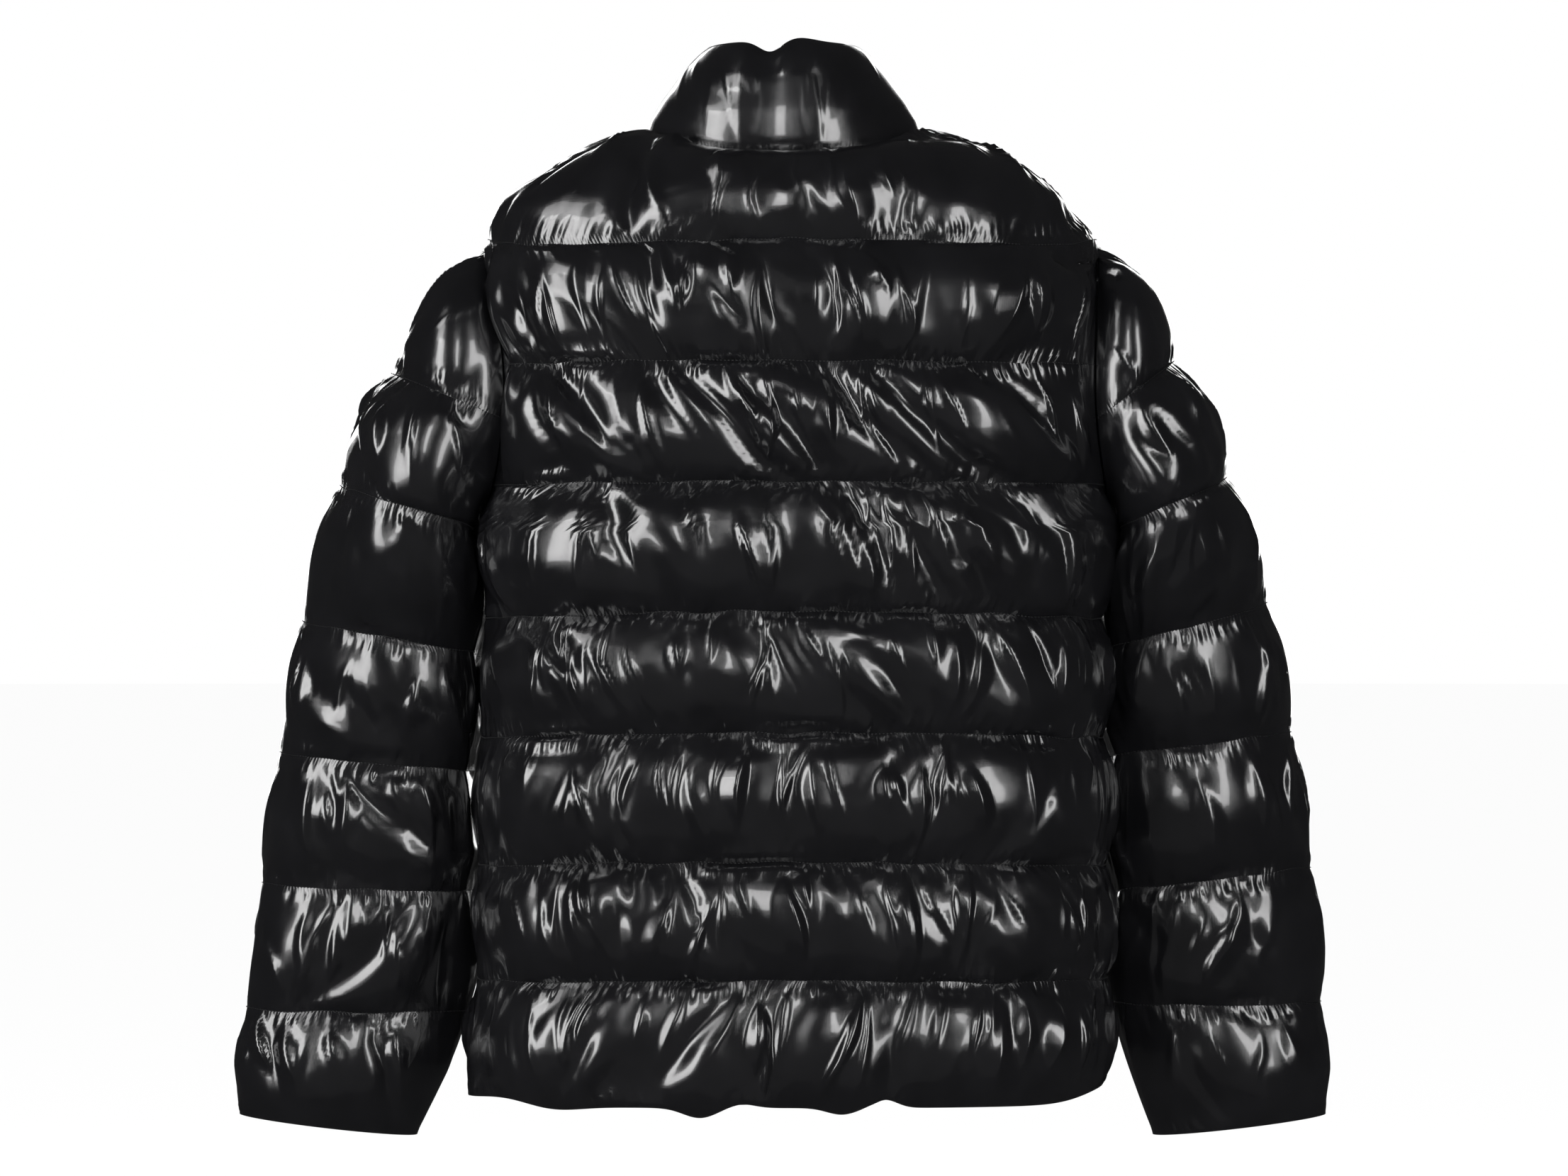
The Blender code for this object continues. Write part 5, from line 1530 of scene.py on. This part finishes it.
def dress(context, node):
    sizes, found = context.scene.jacket_sizes, materials(context)
    seed, flat, area = SHEETS[node]
    panel = panels(context)[node]
    panel, outer = finer(panel, calmed(filled(panel, sizes, seed)))
    outer = puckered(panel, creased(panel, outer, seed), seed)
    depth = sizes.wall if panel.depth is None else panel.depth[:, :, None]
    obj = panel_piece("quilted_" + node, panel, outer, depth, [found["shell"], found["lining"]])
    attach(obj, "jacket")
    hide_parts(node)


class JACKET_OT_back(bpy.types.Operator):
    """Make the quilted back"""

    bl_idname = "jacket.back"
    bl_label = "Back"

    def execute(self, context):
        dress(context, "back")
        return {"FINISHED"}


class JACKET_OT_fronts(bpy.types.Operator):
    """Make the two quilted fronts"""

    bl_idname = "jacket.fronts"
    bl_label = "Fronts"

    def execute(self, context):
        dress(context, "front_left")
        dress(context, "front_right")
        return {"FINISHED"}


class JACKET_OT_sleeves(bpy.types.Operator):
    """Make the two quilted sleeves"""

    bl_idname = "jacket.sleeves"
    bl_label = "Sleeves"

    def execute(self, context):
        dress(context, "sleeve_left")
        dress(context, "sleeve_right")
        return {"FINISHED"}


class JACKET_OT_collar(bpy.types.Operator):
    """Make the padded stand collar"""

    bl_idname = "jacket.collar"
    bl_label = "Collar"

    def execute(self, context):
        dress(context, "collar")
        return {"FINISHED"}


class JACKET_OT_stitches(bpy.types.Operator):
    """Sew a row of stitches along each quilting line"""

    bl_idname = "jacket.stitches"
    bl_label = "Stitches"

    def execute(self, context):
        sizes, finish = context.scene.jacket_sizes, materials(context)["thread"]
        for node, panel in panels(context).items():
            if len(panel.lines) < 3:
                continue
            made = bmesh.new()
            for row in panel.lines[1:-1]:
                sew(made, panel.base[row], panel.out[row], sizes)
            obj = piece("stitches_" + node, made, [finish])
            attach(obj, "jacket")
        return {"FINISHED"}


def sew(made, path, out, sizes):
    """Adds a line of stitches along a path: short rounded lengths of thread, end to end."""
    run = run_along(path)
    count = int(run[-1] / sizes.stitch_pitch)
    at = (np.arange(count) + 0.5) / count
    middles, ways = spread(path, at), read_along(out, run, at)
    along = unit(spread(path, at + 0.2 / count) - spread(path, at - 0.2 / count))
    half_long, half_thick = STITCH_SHARE / 2 * sizes.stitch_pitch, sizes.stitch_thick / 2
    for middle, way, tangent in zip(middles, unit(ways), along):
        side = np.cross(way, tangent)
        frame_of = Matrix(np.column_stack([tangent, side, way]).tolist()).to_4x4()
        scale = Matrix.Diagonal((half_long, half_thick, half_thick, 1.0))
        place = Matrix.Translation(Vector(middle + 0.5 * half_thick * way))
        bmesh.ops.create_icosphere(
            made, subdivisions=1, radius=1.0, matrix=place @ frame_of @ scale
        )


def front_line(context):
    """The middle of the zip's slot at the fronts' inner face, from the hem to the collar's
    top, and the direction that faces inward at each point."""
    found = panels(context)
    front, collar = found["front_left"], found["collar"]
    wall = context.scene.jacket_sizes.wall
    edges = np.concatenate([front.base[:-1, 0], collar.base[1:, 0]])
    ways = -np.concatenate([front.out[:-1, 0], collar.out[1:, 0]])
    points = edges + wall * ways
    points[:, 0] = ways[:, 0] = 0
    return points, unit(ways)


def zip_curve(context, step):
    """The zip's line in even steps, and the direction that faces inward at each."""
    points, ways = front_line(context)
    run = run_along(points)
    long = run[-1] - ZIP_TOP_DROP
    count = int(long / step)
    shares = np.linspace(0, long / run[-1], count + 1)
    return spread(points, shares), unit(read_along(ways, run, shares))


def make_tape(context, side, finish):
    """One side's tape: a flat strip with eased edges, a little thicker under the teeth."""
    points, ways = zip_curve(context, TAPE_STEP)
    profile = [
        # across, inward
        (TAPE_EDGE, TAPE_GAP),
        (CHAIN_HALF * 0.9, TAPE_GAP),
        (CHAIN_HALF, TAPE_GAP + 0.0001),
        (TAPE_HALF - TAPE_BEVEL, TAPE_GAP + 0.0001),
        (TAPE_HALF, TAPE_GAP + 0.0003),
        (TAPE_HALF, TAPE_GAP + TAPE_THICK - TAPE_BEVEL),
        (TAPE_HALF - TAPE_BEVEL, TAPE_GAP + TAPE_THICK),
        (CHAIN_HALF, TAPE_GAP + TAPE_THICK),
        (TAPE_EDGE, TAPE_GAP + TAPE_THICK),
        (TAPE_EDGE, TAPE_GAP),
    ]
    grid = np.array([
        [point + np.array([side * x, 0, 0]) + depth * way for x, depth in profile]
        for point, way in zip(points, ways)
    ])
    made = bmesh.new()
    uv = made.loops.layers.uv.new("cloth")
    verts = add_sheet(made, grid if side < 0 else grid[:, ::-1])
    across = run_along(np.array([[x, depth, 0] for x, depth in profile]))
    run = np.tile(across if side < 0 else across[::-1], (len(grid), 1))
    lay_uv(made, verts, len(profile), run, run_along(points) / BAFFLE, uv)
    bmesh.ops.remove_doubles(made, verts=made.verts, dist=1e-7)
    bmesh.ops.holes_fill(made, edges=[edge for edge in made.edges if edge.is_boundary])
    bmesh.ops.recalc_face_normals(made, faces=made.faces)
    return piece("tape_" + ("left" if side > 0 else "right"), made, [finish])


def make_teeth(context, side, finish):
    """One side's moulded teeth, half a pitch from the other side's."""
    pitch = context.scene.jacket_sizes.tooth_pitch
    points, ways = zip_curve(context, pitch / 2)
    first = 2 if side > 0 else 3
    size = (CHAIN_HALF + TOOTH_LAP, CHAIN_THICK * 0.98, pitch * TOOTH_SHARE, 1.0)
    across = np.array([1.0, 0.0, 0.0])
    made = bmesh.new()
    for at in range(first, len(points) - 2, 2):
        way = ways[at]
        up = unit(points[at + 1] - points[at - 1])
        middle = points[at] + (TAPE_GAP - CHAIN_THICK / 2) * way
        middle += side * (CHAIN_HALF - TOOTH_LAP) / 2 * across
        turn = Matrix(np.column_stack([across, way, up]).tolist()).to_4x4()
        place = Matrix.Translation(Vector(middle))
        bmesh.ops.create_cube(made, size=1.0, matrix=place @ turn @ Matrix.Diagonal(size))
    bmesh.ops.bevel(
        made, geom=list(made.edges), offset=TOOTH_BEVEL, segments=1, profile=0.5,
        affect="EDGES", material=-1,
    )
    return piece("teeth_" + ("left" if side > 0 else "right"), made, [finish])


class JACKET_OT_zip(bpy.types.Operator):
    """Make the zip's tapes and teeth, and finish its slider and pull"""

    bl_idname = "jacket.zip"
    bl_label = "Zip"

    def execute(self, context):
        found = materials(context)
        for side, node in ((1, "zip_tape_left"), (-1, "zip_tape_right")):
            tape = make_tape(context, side, found["tape"])
            teeth = make_teeth(context, side, found["teeth"])
            for obj in (tape, teeth):
                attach(obj, "jacket")
            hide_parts(node)
        for node in ("zip_slider", "zip_pull"):
            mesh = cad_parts[node].data
            mesh.materials.clear()
            mesh.materials.append(found["metal"])
        return {"FINISHED"}


class JACKET_OT_stage(bpy.types.Operator):
    """Make the floor, the lights and the camera"""

    bl_idname = "jacket.stage"
    bl_label = "Stage"

    def execute(self, context):
        scene = context.scene
        make_floor(materials(context)["floor"])
        make_world(scene)
        for name, place, size, power in LIGHTS:
            add_light(name, place, size, power)
        camera = bpy.data.objects.new("camera", bpy.data.cameras.new("camera"))
        camera.location = CAMERA_PLACE
        camera.rotation_euler = (math.pi / 2, 0.0, math.pi)
        camera.data.lens = CAMERA_LENS
        camera.data.sensor_width = 36.0
        scene.collection.objects.link(camera)
        scene.camera = camera
        scene.view_settings.view_transform = "Standard"
        return {"FINISHED"}


def add_light(name, place, size, power):
    """A soft rectangular light that faces the jacket."""
    light = bpy.data.lights.new(name, "AREA")
    light.shape = "RECTANGLE"
    light.size, light.size_y = size
    light.energy = power
    obj = bpy.data.objects.new(name, light)
    obj.location = place
    aim = Vector(LIGHT_AIM) - Vector(place)
    obj.rotation_euler = aim.to_track_quat("-Z", "Y").to_euler()
    obj.visible_camera = False
    bpy.context.scene.collection.objects.link(obj)


def make_floor(material):
    """A wide pale floor."""
    made = bmesh.new()
    bmesh.ops.create_circle(
        made, cap_ends=True, segments=128, radius=FLOOR_RADIUS,
        matrix=Matrix.Translation((0.0, 0.0, FLOOR_Z)),
    )
    floor = piece("floor", made, [material])
    floor.visible_glossy = False


def make_world(scene):
    """Pale all round, and nearly dark in the jacket's reflections."""
    world = bpy.data.worlds.new("studio")
    world.use_nodes = True
    tree = world.node_tree
    background = tree.nodes["Background"]
    background.inputs["Color"].default_value = (1.0, 1.0, 1.0, 1)
    seen = tree.nodes.new("ShaderNodeLightPath")
    strength = tree.nodes.new("ShaderNodeMix")
    strength.data_type = "FLOAT"
    strength.inputs["A"].default_value = 1.0
    strength.inputs["B"].default_value = REFLECTED_WORLD
    tree.links.new(seen.outputs["Is Glossy Ray"], strength.inputs["Factor"])
    tree.links.new(strength.outputs["Result"], background.inputs["Strength"])
    scene.world = world


class JACKET_PT_panel(bpy.types.Panel):
    """Lists the jacket's pieces"""

    bl_idname = "JACKET_PT_panel"
    bl_label = "Quilted jacket"
    bl_space_type = "VIEW_3D"
    bl_region_type = "UI"
    bl_category = "Jacket"

    def draw(self, context):
        for operator in OPERATORS:
            self.layout.operator(operator.bl_idname)
        for group in (context.scene.jacket_sizes, context.scene.jacket_colours):
            box = self.layout.box()
            for key in group.__annotations__:
                box.prop(group, key)


OPERATORS = (
    JACKET_OT_back,
    JACKET_OT_fronts,
    JACKET_OT_sleeves,
    JACKET_OT_collar,
    JACKET_OT_stitches,
    JACKET_OT_zip,
    JACKET_OT_stage,
)
CLASSES = (JacketSizes, JacketColours, *OPERATORS, JACKET_PT_panel)


def register():
    for cls in CLASSES:
        bpy.utils.register_class(cls)
    bpy.types.Scene.jacket_sizes = bpy.props.PointerProperty(type=JacketSizes)
    bpy.types.Scene.jacket_colours = bpy.props.PointerProperty(type=JacketColours)


def unregister():
    del bpy.types.Scene.jacket_sizes
    del bpy.types.Scene.jacket_colours
    for cls in reversed(CLASSES):
        bpy.utils.unregister_class(cls)


def main():
    register()
    for operator in OPERATORS:
        getattr(bpy.ops.jacket, operator.bl_idname.split(".")[1])()


if __name__ == "__main__":
    main()
